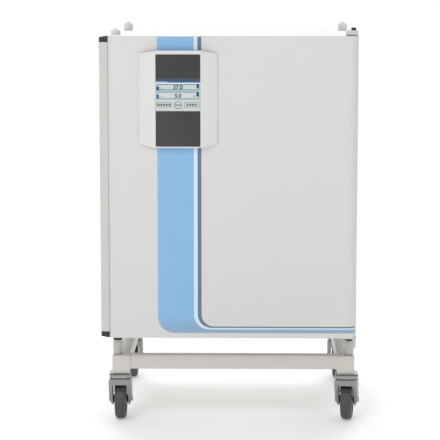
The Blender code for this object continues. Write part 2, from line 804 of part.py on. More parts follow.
def make_caster_axle(corner, x, y, parts):
    """A bolt through both legs, with a cone outside the wheel's hub on each side as a thread guard."""
    half = FORK_WIDTH / 2 + SEAT
    leg = FORK_WINDOW / 2 - SEAT
    hub = WHEEL_WIDTH / 2 + SEAT
    profile = [
        (0, half + AXLE_HEAD),
        (AXLE_HEAD_RADIUS - AXLE_EDGE, half + AXLE_HEAD),
        (AXLE_HEAD_RADIUS, half),
        (AXLE_RADIUS, half),
        (AXLE_RADIUS, leg),
        (GUARD_RADIUS, leg),
        (GUARD_RADIUS - AXLE_HEAD, hub),
        (AXLE_RADIUS, hub),
    ]
    profile += [(radius, -height) for radius, height in reversed(profile)]
    centre = (x, y + CASTER_TRAIL, WHEEL_RADIUS)
    axle = revolved(f"caster_axle_{corner}", profile, centre, "X", 10, parts)
    return painted(smooth(axle), BLACK)


def make_caster_wheel(corner, x, y, parts):
    """Rubber tread on a webbed hub, turned round the axle's bore."""
    half = WHEEL_WIDTH / 2
    rim = WHEEL_RADIUS - WHEEL_TREAD
    bore = AXLE_RADIUS + SEAT
    arc_centre = (WHEEL_RADIUS - WHEEL_EDGE_RADIUS, half - WHEEL_EDGE_RADIUS)
    corner_arc = arc(arc_centre, WHEEL_EDGE_RADIUS, 90, 0, 2)
    outer = [(bore, half), (WHEEL_HUB_RADIUS, half), (WHEEL_HUB_RADIUS, WHEEL_WEB / 2)]
    outer += [(rim, WHEEL_WEB / 2), (rim, half)] + corner_arc
    profile = outer + [(radius, -height) for radius, height in reversed(outer)]
    centre = (x, y + CASTER_TRAIL, WHEEL_RADIUS)
    wheel = revolved(
        f"caster_wheel_{corner}", profile, centre, "X", 20, parts, ring=True, flats=True
    )
    return painted(smooth(wheel), RUBBER)


def make_casing(parts):
    size = (CABINET_WIDTH, CABINET_HEIGHT, CABINET_CORNER_RADIUS, CABINET_MIDDLE_Z)
    loops = [(*size, FACE_Y), (*size, CABINET_BACK)]
    casing = pressed_sheet("cabinet_casing", loops, CABINET_SHEET, parts, False, True)
    painted(casing, WHITE)


def inner_size(margin=0.0):
    """The space inside the casing, less a margin all round."""
    return (CABINET_INNER_WIDTH - 2 * margin, CABINET_INNER_HEIGHT - 2 * margin)


def make_front_frame(parts):
    """Pressed face frame: a fold inside the casing, the gasket's landing, the pocket and the mouth."""
    outer = (*inner_size(), CABINET_CORNER_RADIUS - CABINET_SHEET, CABINET_MIDDLE_Z)
    pocket = (POCKET_WIDTH, POCKET_HEIGHT, POCKET_CORNER_RADIUS, CHAMBER_MIDDLE_Z)
    mouth = (CHAMBER_WIDTH, CHAMBER_HEIGHT, CHAMBER_CORNER_RADIUS, CHAMBER_MIDDLE_Z)
    loops = [
        (*outer, FACE_Y + FRAME_FOLD),
        (*outer, FACE_Y),
        (*pocket, FACE_Y),
        (*pocket, LEDGE_Y),
        (*mouth, LEDGE_Y),
    ]
    frame = pressed_sheet("front_frame", loops, FRAME_SHEET, parts, False, True)
    reach = GLASS_HEIGHT + 2 * (POCKET_CLEARANCE + FRAME_SHEET + PIN_HOLE_PAST)
    base = (GLASS_HINGE_X, GLASS_FRONT, CHAMBER_MIDDLE_Z - reach / 2)
    cut(frame, rod("pin_holes", GLASS_PIN_RADIUS + SEAT, base, reach, "Z", parts, 10))
    painted(frame, WHITE)


def chamber_loops(grow, front):
    """The drawn chamber from its mouth to its back wall, grown outwards by the given amount."""
    loops = [
        (
            CHAMBER_WIDTH + 2 * grow,
            CHAMBER_HEIGHT + 2 * grow,
            CHAMBER_CORNER_RADIUS + grow,
            CHAMBER_MIDDLE_Z,
            front,
        )
    ]
    for step in range(CHAMBER_BACK_STEPS + 1):
        angle = step / CHAMBER_BACK_STEPS * pi / 2
        inset = CHAMBER_BACK_RADIUS * (1 - cos(angle))
        loops.append(
            (
                CHAMBER_WIDTH + 2 * (grow - inset),
                CHAMBER_HEIGHT + 2 * (grow - inset),
                CHAMBER_CORNER_RADIUS + grow - inset,
                CHAMBER_MIDDLE_Z,
                CHAMBER_BACK + grow - CHAMBER_BACK_RADIUS * (1 - sin(angle)),
            )
        )
    return loops


def make_chamber(parts):
    """Drawn steel chamber with a flange round its mouth and a shallow water sump in its floor."""
    flange = (
        CHAMBER_WIDTH + 2 * CHAMBER_FLANGE,
        CHAMBER_HEIGHT + 2 * CHAMBER_FLANGE,
        CHAMBER_CORNER_RADIUS + CHAMBER_FLANGE,
        CHAMBER_MIDDLE_Z,
        MOUTH_Y,
    )
    loops = [flange] + chamber_loops(0, MOUTH_Y)
    chamber = pressed_sheet("chamber", loops, CHAMBER_SHEET, parts, True, False)
    low, high = sump_box()
    skin = Vector((CHAMBER_SHEET, CHAMBER_SHEET, CHAMBER_SHEET))
    outer_high = high + Vector((skin.x, skin.y, -SUMP_JOIN))
    outer = block("sump_outer", low - skin, outer_high, parts)
    inner = block("sump_inner", low, high + Vector((0, 0, CUT_PAST)), parts)
    joined(chamber, outer)
    cut(chamber, inner, *back_wall_bores(0, parts))
    painted(chamber, STEEL)


def sump_box():
    middle_y = (MOUTH_Y + CHAMBER_BACK) / 2
    low = Vector((-SUMP_WIDTH / 2, middle_y - SUMP_DEPTH / 2, CHAMBER_BOTTOM - SUMP_DROP))
    high = Vector((SUMP_WIDTH / 2, middle_y + SUMP_DEPTH / 2, CHAMBER_BOTTOM))
    return low, high


def back_wall_bores(margin, parts):
    """Cutters along y for the fan's shaft, the sensor and the port, through the wall and its insulation."""
    start = CHAMBER_BACK - CUT_PAST
    length = INSULATION_BACK + CUT_PAST - start
    port = PORT_RADIUS + (PORT_WALL + SEAT if margin else 0)
    shaft = FAN_SHAFT_RADIUS + SEAT + margin
    sensor = SENSOR_STEM_RADIUS + SEAT
    return (
        rod("shaft_bore", shaft, (0, start, FAN_Z), length, "Y", parts, 12),
        rod("sensor_bore", sensor, (SENSOR_X, start, FAN_Z), length, "Y", parts, 12),
        rod("port_bore", port, (PORT_X, start, PORT_Z), length, "Y", parts, 20),
    )


def make_insulation(parts):
    """A moulded jacket round the chamber, open at the mouth."""
    grow = CHAMBER_SHEET + SEAT
    jacket = pressed_sheet(
        "insulation", chamber_loops(grow, MOUTH_Y + grow), INSULATION, parts, True, False
    )
    low, high = sump_box()
    room = Vector((grow, grow, grow))
    cut(jacket, block("sump_room", low - room, high + room, parts))
    cut(jacket, *back_wall_bores(SEAT, parts))
    painted(jacket, FOAM)


def make_door_shell(parts):
    """A pan of sheet steel, round at the hinge edge and open at the back."""
    shell = floor_outline("door_shell", [door_section(0)], DOOR_BOTTOM, DOOR_TOP, parts)
    softened(shell, DOOR_FOLD_RADIUS)
    inside = floor_outline(
        "inside", [door_section(DOOR_SHEET)], DOOR_BOTTOM + DOOR_SHEET, DOOR_TOP - DOOR_SHEET, parts
    )
    bore = HINGE_PIN_RADIUS + SEAT
    pin_base = (HINGE_X, HINGE_AXIS_DEPTH, DOOR_BOTTOM - CUT_PAST)
    cut(
        shell,
        inside,
        rod("pins", bore, pin_base, DOOR_HEIGHT + 2 * CUT_PAST, "Z", parts, 12),
    )
    pivoted(shell, (HINGE_X, HINGE_AXIS_DEPTH, DOOR_MIDDLE_Z))
    painted(shell, WHITE)


def door_section(inset):
    """The door from above, drawn in by the inset at its front and sides, and past its back when inset."""
    left = -DOOR_RIGHT + inset
    right = DOOR_RIGHT - inset
    small = DOOR_EDGE_RADIUS - inset
    large = DOOR_HINGE_EDGE_RADIUS - inset
    back = DOOR_DEPTH + (CUT_PAST if inset else 0)
    points = [(left, back)]
    points += arc((left + small, inset + small), small, 180, 270, 2)
    points += arc((right - large, inset + large), large, 270, 360, 8)
    points.append((right, back))
    return points


def make_door_liner(parts):
    """The pressed inner skin: walls inside the shell, the gasket's groove, and a recessed middle."""
    margin = DOOR_SHEET + SEAT
    width = DOOR_WIDTH - 2 * margin
    height = DOOR_HEIGHT - 2 * margin
    gasket_width, gasket_height = gasket_size()
    groove = SEAT + GASKET_WIDTH
    outer = (width, height, LINER_CORNER_RADIUS, DOOR_MIDDLE_Z)
    step = (gasket_width + 2 * SEAT, gasket_height + 2 * SEAT, GASKET_CORNER_RADIUS, CABINET_MIDDLE_Z)
    floor = (gasket_width - 2 * groove, gasket_height - 2 * groove, GASKET_INNER_RADIUS, CABINET_MIDDLE_Z)
    land = 2 * LINER_LAND
    pan = land + 2 * LINER_SLOPE
    bottom = DOOR_DEPTH - GASKET_GROOVE
    loops = [
        (*outer, DOOR_DEPTH - LINER_DEPTH),
        (*outer, DOOR_DEPTH),
        (*step, DOOR_DEPTH),
        (*step, bottom),
        (*floor, bottom),
        (*floor, DOOR_DEPTH),
        (floor[0] - land, floor[1] - land, LINER_PAN_RADIUS, CABINET_MIDDLE_Z, DOOR_DEPTH),
        (floor[0] - pan, floor[1] - pan, LINER_PAN_RADIUS, CABINET_MIDDLE_Z, bottom),
    ]
    liner = pressed_sheet("door_liner", loops, LINER_SHEET, parts, True, True)
    pivoted(liner, (HINGE_X, HINGE_AXIS_DEPTH, DOOR_MIDDLE_Z))
    painted(liner, STEEL)


def gasket_size():
    width, height = inner_size(GASKET_INSET)
    return width, height


def make_door_gasket(parts):
    """A magnetic seal strip in the liner's groove, which meets the face frame."""
    width, height = gasket_size()
    middle = (0, CABINET_MIDDLE_Z)
    outer = rounded_rectangle(width, height, GASKET_CORNER_RADIUS, middle)
    inner_width = width - 2 * GASKET_WIDTH
    inner_height = height - 2 * GASKET_WIDTH
    inner = rounded_rectangle(inner_width, inner_height, GASKET_INNER_RADIUS, middle)
    front = DOOR_DEPTH - GASKET_GROOVE + SEAT
    gasket = front_outline("door_gasket", [outer, inner], front, FACE_Y - SEAT, parts)
    pivoted(gasket, (HINGE_X, HINGE_AXIS_DEPTH, DOOR_MIDDLE_Z))
    painted(gasket, RUBBER)


def grip_outline():
    """Outer line of the grip from above: from the door's edge round the nose to its back."""
    right = -DOOR_RIGHT - SEAT
    left = right - GRIP_REACH + SEAT
    front = -GRIP_PROUD
    back = front + GRIP_DEPTH + GRIP_PROUD
    nose = GRIP_NOSE_RADIUS
    points = [(right, back), (right, front + GRIP_EDGE), (right - GRIP_EDGE, front)]
    points += arc((left + nose, front + nose), nose, 270, 180, 4)
    points.append((left, back))
    return points


def make_grip(parts):
    """An extruded hook profile along the whole free edge: fingers go in behind its nose."""
    low = DOOR_BOTTOM + GRIP_END_INSET + GRIP_CAP_HEIGHT + SEAT
    high = DOOR_TOP - GRIP_CAP_HEIGHT - SEAT
    profile = floor_outline("handle_profile", [grip_outline()], low, high, parts)
    right = -DOOR_RIGHT - SEAT
    left = right - GRIP_REACH + SEAT
    hollow_low = (left + GRIP_WALL, -GRIP_PROUD + GRIP_WALL + GRIP_EDGE, low - CUT_PAST)
    hollow_high = (right - GRIP_WALL, GRIP_DEPTH + CUT_PAST, high + CUT_PAST)
    cut(profile, block("finger_room", hollow_low, hollow_high, parts))
    hinge_line = (HINGE_X, HINGE_AXIS_DEPTH, DOOR_MIDDLE_Z)
    painted(pivoted(profile, hinge_line), GREY)
    for name, bottom, side in (
        ("handle_cap_bottom", DOOR_BOTTOM + GRIP_END_INSET, -1),
        ("handle_cap_top", DOOR_TOP - GRIP_CAP_HEIGHT, 1),
    ):
        top = bottom + GRIP_CAP_HEIGHT
        cap = floor_outline(name, [grip_outline()], bottom, top, parts)
        free = top if side > 0 else bottom
        beyond = left - CUT_PAST
        over = free + side * CUT_PAST
        slope = GRIP_CAP_CHAMFER + CUT_PAST
        corner = [(beyond, over), (beyond, free - side * slope), (left + slope, over)]
        cut(cap, front_outline("chamfer", [corner], -GRIP_DEPTH, 2 * GRIP_DEPTH, parts))
        painted(pivoted(cap, hinge_line), BLACK)


def make_hinges(parts):
    """An arm over the door's top with its pin, and an arm with a skirt under the door with a fixed pin."""
    right = DOOR_RIGHT - HINGE_EDGE_INSET
    left = right - HINGE_BRACKET_WIDTH
    front = HINGE_AXIS_DEPTH - HINGE_NOSE
    back = front + HINGE_BRACKET_DEPTH
    under = DOOR_TOP + HINGE_AIR
    foot_front = FACE_Y + SEAT
    block_top = under + HINGE_BLOCK_HEIGHT
    block_back = HINGE_AXIS_DEPTH + HINGE_BLOCK_REACH
    arm = [
        (front, under),
        (foot_front, under),
        (foot_front, CABINET_TOP + SEAT),
        (back, CABINET_TOP + SEAT),
        (back, under + HINGE_LEAF),
        (block_back, under + HINGE_LEAF),
        (block_back, block_top),
        (front, block_top),
    ]
    upper = side_outline("hinge_upper", [arm], left, right, parts)
    softened(upper, HINGE_EDGE)
    line = (HINGE_X, HINGE_AXIS_DEPTH)
    bore = HINGE_PIN_RADIUS + SEAT
    bore_length = HINGE_BLOCK_HEIGHT + 2 * CUT_PAST
    cut(upper, rod("bore", bore, (*line, under - CUT_PAST), bore_length, "Z", parts, 12))
    painted(upper, GREY)

    pin_bottom = DOOR_TOP - HINGE_PIN_REACH
    seat = block_top + SEAT
    cap_top = seat + HINGE_PIN_CAP_HEIGHT
    profile = [
        (0, cap_top),
        (HINGE_PIN_CAP_RADIUS - HINGE_EDGE, cap_top),
        (HINGE_PIN_CAP_RADIUS, cap_top - HINGE_EDGE),
        (HINGE_PIN_CAP_RADIUS, seat),
        (HINGE_PIN_RADIUS, seat),
        (HINGE_PIN_RADIUS, pin_bottom),
        (0, pin_bottom),
    ]
    painted(smooth(revolved("hinge_pin_upper", profile, (*line, 0), "Z", 12, parts)), BLACK)

    top = DOOR_BOTTOM - SEAT
    leaf_top = CABINET_BOTTOM - SEAT
    leaf_back = FRONT_FOOT_Y - FOOT_NUT_RADIUS - HINGE_FOOT_ROOM
    leaf = [
        (front, top),
        (front, top - HINGE_LEAF),
        (leaf_back, top - HINGE_LEAF),
        (leaf_back, leaf_top),
        (foot_front, leaf_top),
        (foot_front, top),
    ]
    lower = side_outline("hinge_lower", [leaf], left, DOOR_RIGHT, parts)
    skirt_right = DOOR_RIGHT - SINK
    skirt_low = (DOOR_RIGHT - HINGE_SKIRT_WIDTH, front + SINK, DOOR_BOTTOM - HINGE_SKIRT_HEIGHT)
    skirt_high = (skirt_right, leaf_back - HINGE_FOOT_ROOM, top - HINGE_LEAF / 2)
    pin_base = (*line, top - HINGE_LEAF / 2)
    pin_length = HINGE_PIN_REACH + HINGE_LEAF / 2
    joined(
        lower,
        block("skirt", skirt_low, skirt_high, parts),
        rod("pin", HINGE_PIN_RADIUS, pin_base, pin_length, "Z", parts, 12),
    )
    painted(lower, GREY)


def make_control_panel(parts):
    """A faceted housing: a flat middle with two wings that fall back to the door, and its dark glass."""
    half = PANEL_WIDTH / 2
    flat = PANEL_FLAT_WIDTH / 2
    x = PANEL_CENTRE_X
    outline = [
        (x + half, PANEL_BOTTOM + PANEL_WING_RISE),
        (x + half, PANEL_TOP - PANEL_WING_DROP),
        (x + flat, PANEL_TOP),
        (x - flat, PANEL_TOP),
        (x - half, PANEL_TOP - PANEL_WING_DROP),
        (x - half, PANEL_BOTTOM + PANEL_WING_RISE),
        (x - flat, PANEL_BOTTOM),
        (x + flat, PANEL_BOTTOM),
    ]
    section = [
        (x - half, -SEAT),
        (x - half, -PANEL_EDGE),
        (x - flat, -PANEL_PROUD),
        (x + flat, -PANEL_PROUD),
        (x + half, -PANEL_EDGE),
        (x + half, -SEAT),
    ]
    front = -PANEL_PROUD - CUT_PAST
    housing = front_outline("panel_housing", [outline], front, CUT_PAST, parts)
    low = PANEL_BOTTOM - CUT_PAST
    high = PANEL_TOP + CUT_PAST
    crossed(housing, floor_outline("section", [section], low, high, parts))
    softened(housing, PANEL_FOLD_RADIUS)
    width = DISPLAY_WIDTH
    height = DISPLAY_HEIGHT
    middle = (x, DISPLAY_MIDDLE_Z)
    hole_radius = DISPLAY_CORNER_RADIUS + SEAT
    hole = rounded_rectangle(width + 2 * SEAT, height + 2 * SEAT, hole_radius, middle)
    floor = -PANEL_PROUD + DISPLAY_SHEET + SEAT
    cut(housing, front_outline("recess", [hole], front, floor, parts))
    glass = rounded_rectangle(width, height, DISPLAY_CORNER_RADIUS, middle)
    display = front_outline("display_glass", [glass], -PANEL_PROUD, -PANEL_PROUD + DISPLAY_SHEET, parts)
    softened(display, DISPLAY_EDGE)
    hinge_line = (HINGE_X, HINGE_AXIS_DEPTH, DOOR_MIDDLE_Z)
    painted(pivoted(housing, hinge_line), PANEL_WHITE)
    painted(pivoted(display, hinge_line), DARK_GLASS)


def make_glass_door(parts):
    """A frame with a rebate for the pane, a barrel down its hinge edge, and the latch in its free edge."""
    middle = (0, CHAMBER_MIDDLE_Z)
    opening_width = GLASS_WIDTH - 2 * GLASS_FRAME_RAIL
    opening_height = GLASS_HEIGHT - 2 * GLASS_FRAME_RAIL
    outer = rounded_rectangle(GLASS_WIDTH, GLASS_HEIGHT, GLASS_CORNER_RADIUS, middle, 2)
    opening = rounded_rectangle(opening_width, opening_height, GLASS_OPENING_RADIUS, middle, 2)
    frame = front_outline("glass_door_frame", [outer, opening], GLASS_FRONT, GLASS_BACK, parts)
    pane_width = opening_width + 2 * GLASS_REBATE
    pane_height = opening_height + 2 * GLASS_REBATE
    room_size = (pane_width + 2 * SEAT, pane_height + 2 * SEAT, GLASS_OPENING_RADIUS)
    room = rounded_rectangle(*room_size, middle, 2)
    rebate_front = GLASS_BACK - PANE_SHEET - 2 * SEAT
    cut(frame, front_outline("rebate", [room], rebate_front, GLASS_BACK + CUT_PAST, parts))
    low = CHAMBER_MIDDLE_Z - GLASS_HEIGHT / 2
    barrel_base = (GLASS_HINGE_X, GLASS_FRONT, low + GLASS_BARREL_INSET)
    barrel_length = GLASS_HEIGHT - 2 * GLASS_BARREL_INSET
    pin_reach = POCKET_CLEARANCE + FRAME_SHEET + GLASS_PIN_PAST
    pin_base = (GLASS_HINGE_X, GLASS_FRONT, low - pin_reach)
    pin_length = GLASS_HEIGHT + 2 * pin_reach
    joined(
        frame,
        rod("barrel", GLASS_BARREL_RADIUS, barrel_base, barrel_length, "Z", parts, 10),
        rod("pins", GLASS_PIN_RADIUS, pin_base, pin_length, "Z", parts, 8),
    )
    latch_x = -GLASS_WIDTH / 2 + LATCH_INSET
    bore_base = (latch_x, GLASS_FRONT - CUT_PAST, CHAMBER_MIDDLE_Z)
    bore_length = GLASS_FRAME_DEPTH + 2 * CUT_PAST
    cut(frame, rod("bore", LATCH_SHAFT_RADIUS + SEAT, bore_base, bore_length, "Y", parts, 12))
    hinge_line = (GLASS_HINGE_X, GLASS_FRONT, CHAMBER_MIDDLE_Z)
    painted(pivoted(frame, hinge_line), GREY)

    edge = rounded_rectangle(pane_width, pane_height, GLASS_OPENING_RADIUS - SEAT, middle, 2)
    pane_back = GLASS_BACK - SEAT
    pane = front_outline("glass_door_pane", [edge], pane_back - PANE_SHEET, pane_back, parts)
    painted(pivoted(pane, hinge_line), GLASS)

    lever_front = DOOR_DEPTH + LATCH_SETBACK
    lever_back = lever_front + LATCH_LEVER_SHEET
    half = LATCH_LEVER_WIDTH / 2
    tail = (latch_x - LATCH_TAIL + half, CHAMBER_MIDDLE_Z)
    grip = (latch_x + LATCH_GRIP - half, CHAMBER_MIDDLE_Z)
    lever = arc(tail, half, 90, 270, 5) + arc(grip, half, 270, 450, 5)
    latch = front_outline("glass_door_latch", [lever], lever_front, lever_back, parts)
    boss_length = GLASS_FRONT - SEAT - lever_back + SINK
    boss_base = (latch_x, lever_back - SINK, CHAMBER_MIDDLE_Z)
    shaft_length = GLASS_BACK - lever_back + SINK
    joined(
        latch,
        rod("boss", LATCH_BOSS_RADIUS, boss_base, boss_length, "Y", parts, 14),
        rod("shaft", LATCH_SHAFT_RADIUS, boss_base, shaft_length, "Y", parts, 12),
    )
    painted(pivoted(latch, (latch_x, GLASS_FRONT, CHAMBER_MIDDLE_Z)), BLACK)


def make_shelf_ladders(parts):
    """A windowed side plate in each half of the chamber, with a ledge at every level."""
    front = MOUTH_Y + SHELF_SETBACK
    back = front + SHELF_DEPTH
    low = CHAMBER_MIDDLE_Z - LADDER_HEIGHT / 2
    high = low + LADDER_HEIGHT
    outline = [(front, low), (back, low), (back, high), (front, high)]
    wall = CHAMBER_WIDTH / 2 - SEAT
    windows = []
    near = front + LADDER_WINDOW_RAIL
    far = back - LADDER_WINDOW_RAIL
    for ledge, above in zip(LEDGE_TOPS, LEDGE_TOPS[1:]):
        bottom = ledge + LADDER_WINDOW_SILL
        top = above - LADDER_WINDOW_HEAD
        windows.append([(near, bottom), (near, top), (far, top), (far, bottom)])
    for side, hand in ((-1, "left"), (1, "right")):
        left, right = sorted((side * wall, side * (wall - LADDER_SHEET)))
        ladder = side_outline(f"shelf_ladder_{hand}", [outline] + windows, left, right, parts)
        ledges = []
        for z in LEDGE_TOPS:
            inner = side * (wall - LADDER_SHEET - LEDGE_REACH)
            near_x, far_x = sorted((inner, side * (wall - LADDER_SHEET / 2)))
            ledge_low = (near_x, front + LEDGE_INSET, z - LEDGE_SHEET)
            ledges.append(block("ledge", ledge_low, (far_x, back - LEDGE_INSET, z), parts))
        painted(joined(ladder, *ledges), STEEL)


def make_shelves(parts):
    """Slotted sheet with a lip turned down at its front and back, resting on the ledges."""
    front = MOUTH_Y + SHELF_SETBACK
    half = CHAMBER_WIDTH / 2 - LADDER_SHEET - 3 * SEAT
    middle_y = front + SHELF_DEPTH / 2
    pitch_x = 2 * (half - SLOT_MARGIN) / SLOT_COLUMNS
    pitch_y = (SHELF_DEPTH - 2 * SLOT_MARGIN) / SLOT_ROWS
    lip_half = half - LEDGE_REACH - LEDGE_INSET
    for name, ledge in SHELF_ON_LEDGE.items():
        bottom = LEDGE_TOPS[ledge] + SEAT
        top = bottom + SHELF_SHEET
        shelf = block(name, (-half, front, bottom), (half, front + SHELF_DEPTH, top), parts)
        lips = []
        for near in (front + SEAT, front + SHELF_DEPTH - SHELF_SHEET - SEAT):
            lip_low = (-lip_half, near, bottom - SHELF_LIP)
            lip_high = (lip_half, near + SHELF_SHEET, top - SHELF_SHEET / 2)
            lips.append(block("lip", lip_low, lip_high, parts))
        joined(shelf, *lips)
        slots = []
        for row in range(SLOT_ROWS):
            for column in range(SLOT_COLUMNS):
                x = (column - (SLOT_COLUMNS - 1) / 2) * pitch_x
                y = middle_y + (row - (SLOT_ROWS - 1) / 2) * pitch_y
                slot_low = (x - SLOT_WIDTH / 2, y - SLOT_LENGTH / 2, bottom - CUT_PAST)
                slot_high = (x + SLOT_WIDTH / 2, y + SLOT_LENGTH / 2, top + CUT_PAST)
                slots.append((slot_low, slot_high))
        painted(cut(shelf, blocks("slots", slots, parts)), STEEL)


def make_fan(parts):
    """A radial wheel on the motor's shaft inside a slotted cover, with the motor behind the insulation."""
    wheel_back = CHAMBER_BACK - FAN_WALL_GAP
    wheel_front = wheel_back - FAN_DEPTH
    bore = FAN_SHAFT_RADIUS + SEAT
    paddles = []
    for blade in range(FAN_BLADES):
        angle = tau * blade / FAN_BLADES
        along = Vector((cos(angle), sin(angle)))
        across = Vector((-sin(angle), cos(angle))) * FAN_BLADE_SHEET / 2
        step = tau / FAN_BLADES / 2
        root = along * FAN_HUB_RADIUS
        tip = along * FAN_BLADE_TIP
        between = Vector((cos(angle + step), sin(angle + step))) * FAN_HUB_RADIUS
        paddles += [root - across, tip - across, tip + across, root + across, between]
    outline = [(p.x, FAN_Z + p.y) for p in paddles]
    wheel = front_outline("fan_wheel", [outline], wheel_front, wheel_back - FAN_PLATE / 2, parts)
    plate_base = (0, wheel_back - FAN_PLATE, FAN_Z)
    joined(wheel, rod("plate", FAN_RADIUS, plate_base, FAN_PLATE, "Y", parts, 24))
    bore_base = (0, wheel_front - CUT_PAST, FAN_Z)
    cut(wheel, rod("bore", bore, bore_base, FAN_DEPTH + 2 * CUT_PAST, "Y", parts, 12))
    painted(pivoted(wheel, (0, wheel_back, FAN_Z)), STEEL)

    seat = INSULATION_BACK + SEAT
    profile = [
        (0, seat + MOTOR_LENGTH),
        (MOTOR_END_RADIUS, seat + MOTOR_LENGTH),
        (MOTOR_RADIUS, seat + MOTOR_LENGTH - MOTOR_CHAMFER),
        (MOTOR_RADIUS, seat),
        (FAN_SHAFT_RADIUS, seat),
        (FAN_SHAFT_RADIUS, wheel_front),
        (0, wheel_front),
    ]
    motor = revolved("fan_motor", profile, (0, 0, FAN_Z), "Y", 16, parts)
    painted(smooth(motor), BLACK)

    flange = COVER_SIZE + 2 * COVER_FLANGE
    face = CHAMBER_BACK - SEAT
    front = face - COVER_DEPTH
    loops = [
        (flange, flange, COVER_CORNER_RADIUS, FAN_Z, face),
        (COVER_SIZE, COVER_SIZE, COVER_CORNER_RADIUS, FAN_Z, face),
        (COVER_SIZE, COVER_SIZE, COVER_CORNER_RADIUS, FAN_Z, front + COVER_EDGE),
        (COVER_SIZE - 2 * COVER_EDGE, COVER_SIZE - 2 * COVER_EDGE, COVER_FACE_RADIUS, FAN_Z, front),
    ]
    cover = pressed_sheet("fan_cover", loops, COVER_SHEET, parts, True, True)
    slots = []
    half_width = COVER_SLOT_WIDTH / 2
    half_height = COVER_SLOT_HEIGHT / 2
    for index in range(COVER_SLOTS):
        z = FAN_Z + (index - (COVER_SLOTS - 1) / 2) * COVER_SLOT_PITCH
        low = (-half_width, front - CUT_PAST, z - half_height)
        high = (half_width, front + CUT_PAST, z + half_height)
        slots.append((low, high))
    painted(cut(cover, blocks("slots", slots, parts)), STEEL)


def make_sensor(parts):
    """A capped gas sensor on a stem through the back wall."""
    face = CHAMBER_BACK - SEAT
    tip = face - SENSOR_LENGTH
    tail = INSULATION_BACK - SENSOR_TAIL_INSET
    neck = face - SENSOR_FLANGE - SENSOR_NECK
    profile = [
        (0, tail),
        (SENSOR_STEM_RADIUS, tail),
        (SENSOR_STEM_RADIUS, face),
        (SENSOR_FLANGE_RADIUS, face),
        (SENSOR_FLANGE_RADIUS, face - SENSOR_FLANGE),
        (SENSOR_NECK_RADIUS, face - SENSOR_FLANGE),
        (SENSOR_NECK_RADIUS, neck),
        (SENSOR_RADIUS, neck - SENSOR_SHOULDER),
        (SENSOR_RADIUS, tip + SENSOR_NOSE),
        (SENSOR_STEM_RADIUS, tip),
        (0, tip),
    ]
    sensor = revolved("sensor_head", profile, (SENSOR_X, 0, FAN_Z), "Y", 12, parts)
    painted(smooth(sensor), STEEL)


def make_rear_cover(parts):
    """The pressed back cover with its raised service box, louvres, cut-outs and the port's sleeve."""
    plate = (*inner_size(), CABINET_CORNER_RADIUS - CABINET_SHEET, CABINET_MIDDLE_Z)
    box = (REAR_BOX_WIDTH, REAR_BOX_HEIGHT, REAR_BOX_RADIUS, CABINET_MIDDLE_Z)
    loops = [
        (*plate, REAR_PLATE_Y - FRAME_FOLD),
        (*plate, REAR_PLATE_Y),
        (*box, REAR_PLATE_Y),
        (*box, REAR_FACE_Y),
    ]
    cover = pressed_sheet("rear_cover", loops, REAR_SHEET, parts, True, True)
    front = REAR_FACE_Y - CUT_PAST
    back = REAR_FACE_Y + CUT_PAST
    sleeve_front = CHAMBER_BACK + CHAMBER_SHEET + SEAT
    sleeve_back = REAR_FACE_Y - SLEEVE_INSET
    outer = PORT_RADIUS + PORT_WALL
    outside = [(outer, sleeve_back), (outer, sleeve_front)]
    profile = outside + [(PORT_RADIUS, sleeve_front), (PORT_RADIUS, sleeve_back)]
    middle = PORT_RADIUS + PORT_WALL / 2
    cut(cover, rod("bore", middle, (PORT_X, front, PORT_Z), 2 * CUT_PAST, "Y", parts, 20))
    joined(cover, revolved("sleeve", profile, (PORT_X, 0, PORT_Z), "Y", 20, parts, ring=True))
    cutters = []
    louvres = []
    for side in (-1, 1):
        middle = side * (LOUVRE_X + LOUVRE_WIDTH / 2)
        for row in range(LOUVRE_ROWS):
            z = LOUVRE_TOP - row * LOUVRE_PITCH
            low = (middle - LOUVRE_WIDTH / 2, front, z - LOUVRE_HEIGHT)
            louvres.append((low, (middle + LOUVRE_WIDTH / 2, back, z)))
    cutters.append(blocks("louvres", louvres, parts))
    for x, z, width, height in (
        (INLET_X, INLET_Z, INLET_BODY_WIDTH, INLET_BODY_HEIGHT),
        (SWITCH_X, INLET_Z, SWITCH_WIDTH, SWITCH_HEIGHT),
    ):
        half = (width / 2 + SEAT, height / 2 + SEAT)
        low = (x - half[0], front, z - half[1])
        cutters.append(block("cut_out", low, (x + half[0], back, z + half[1]), parts))
    gas_bore = GAS_STEM_RADIUS + SEAT
    bore_length = back - front
    cutters.append(rod("gas_bore", gas_bore, (GAS_X, front, GAS_Z), bore_length, "Y", parts, 12))
    painted(cut(cover, *cutters), WHITE)


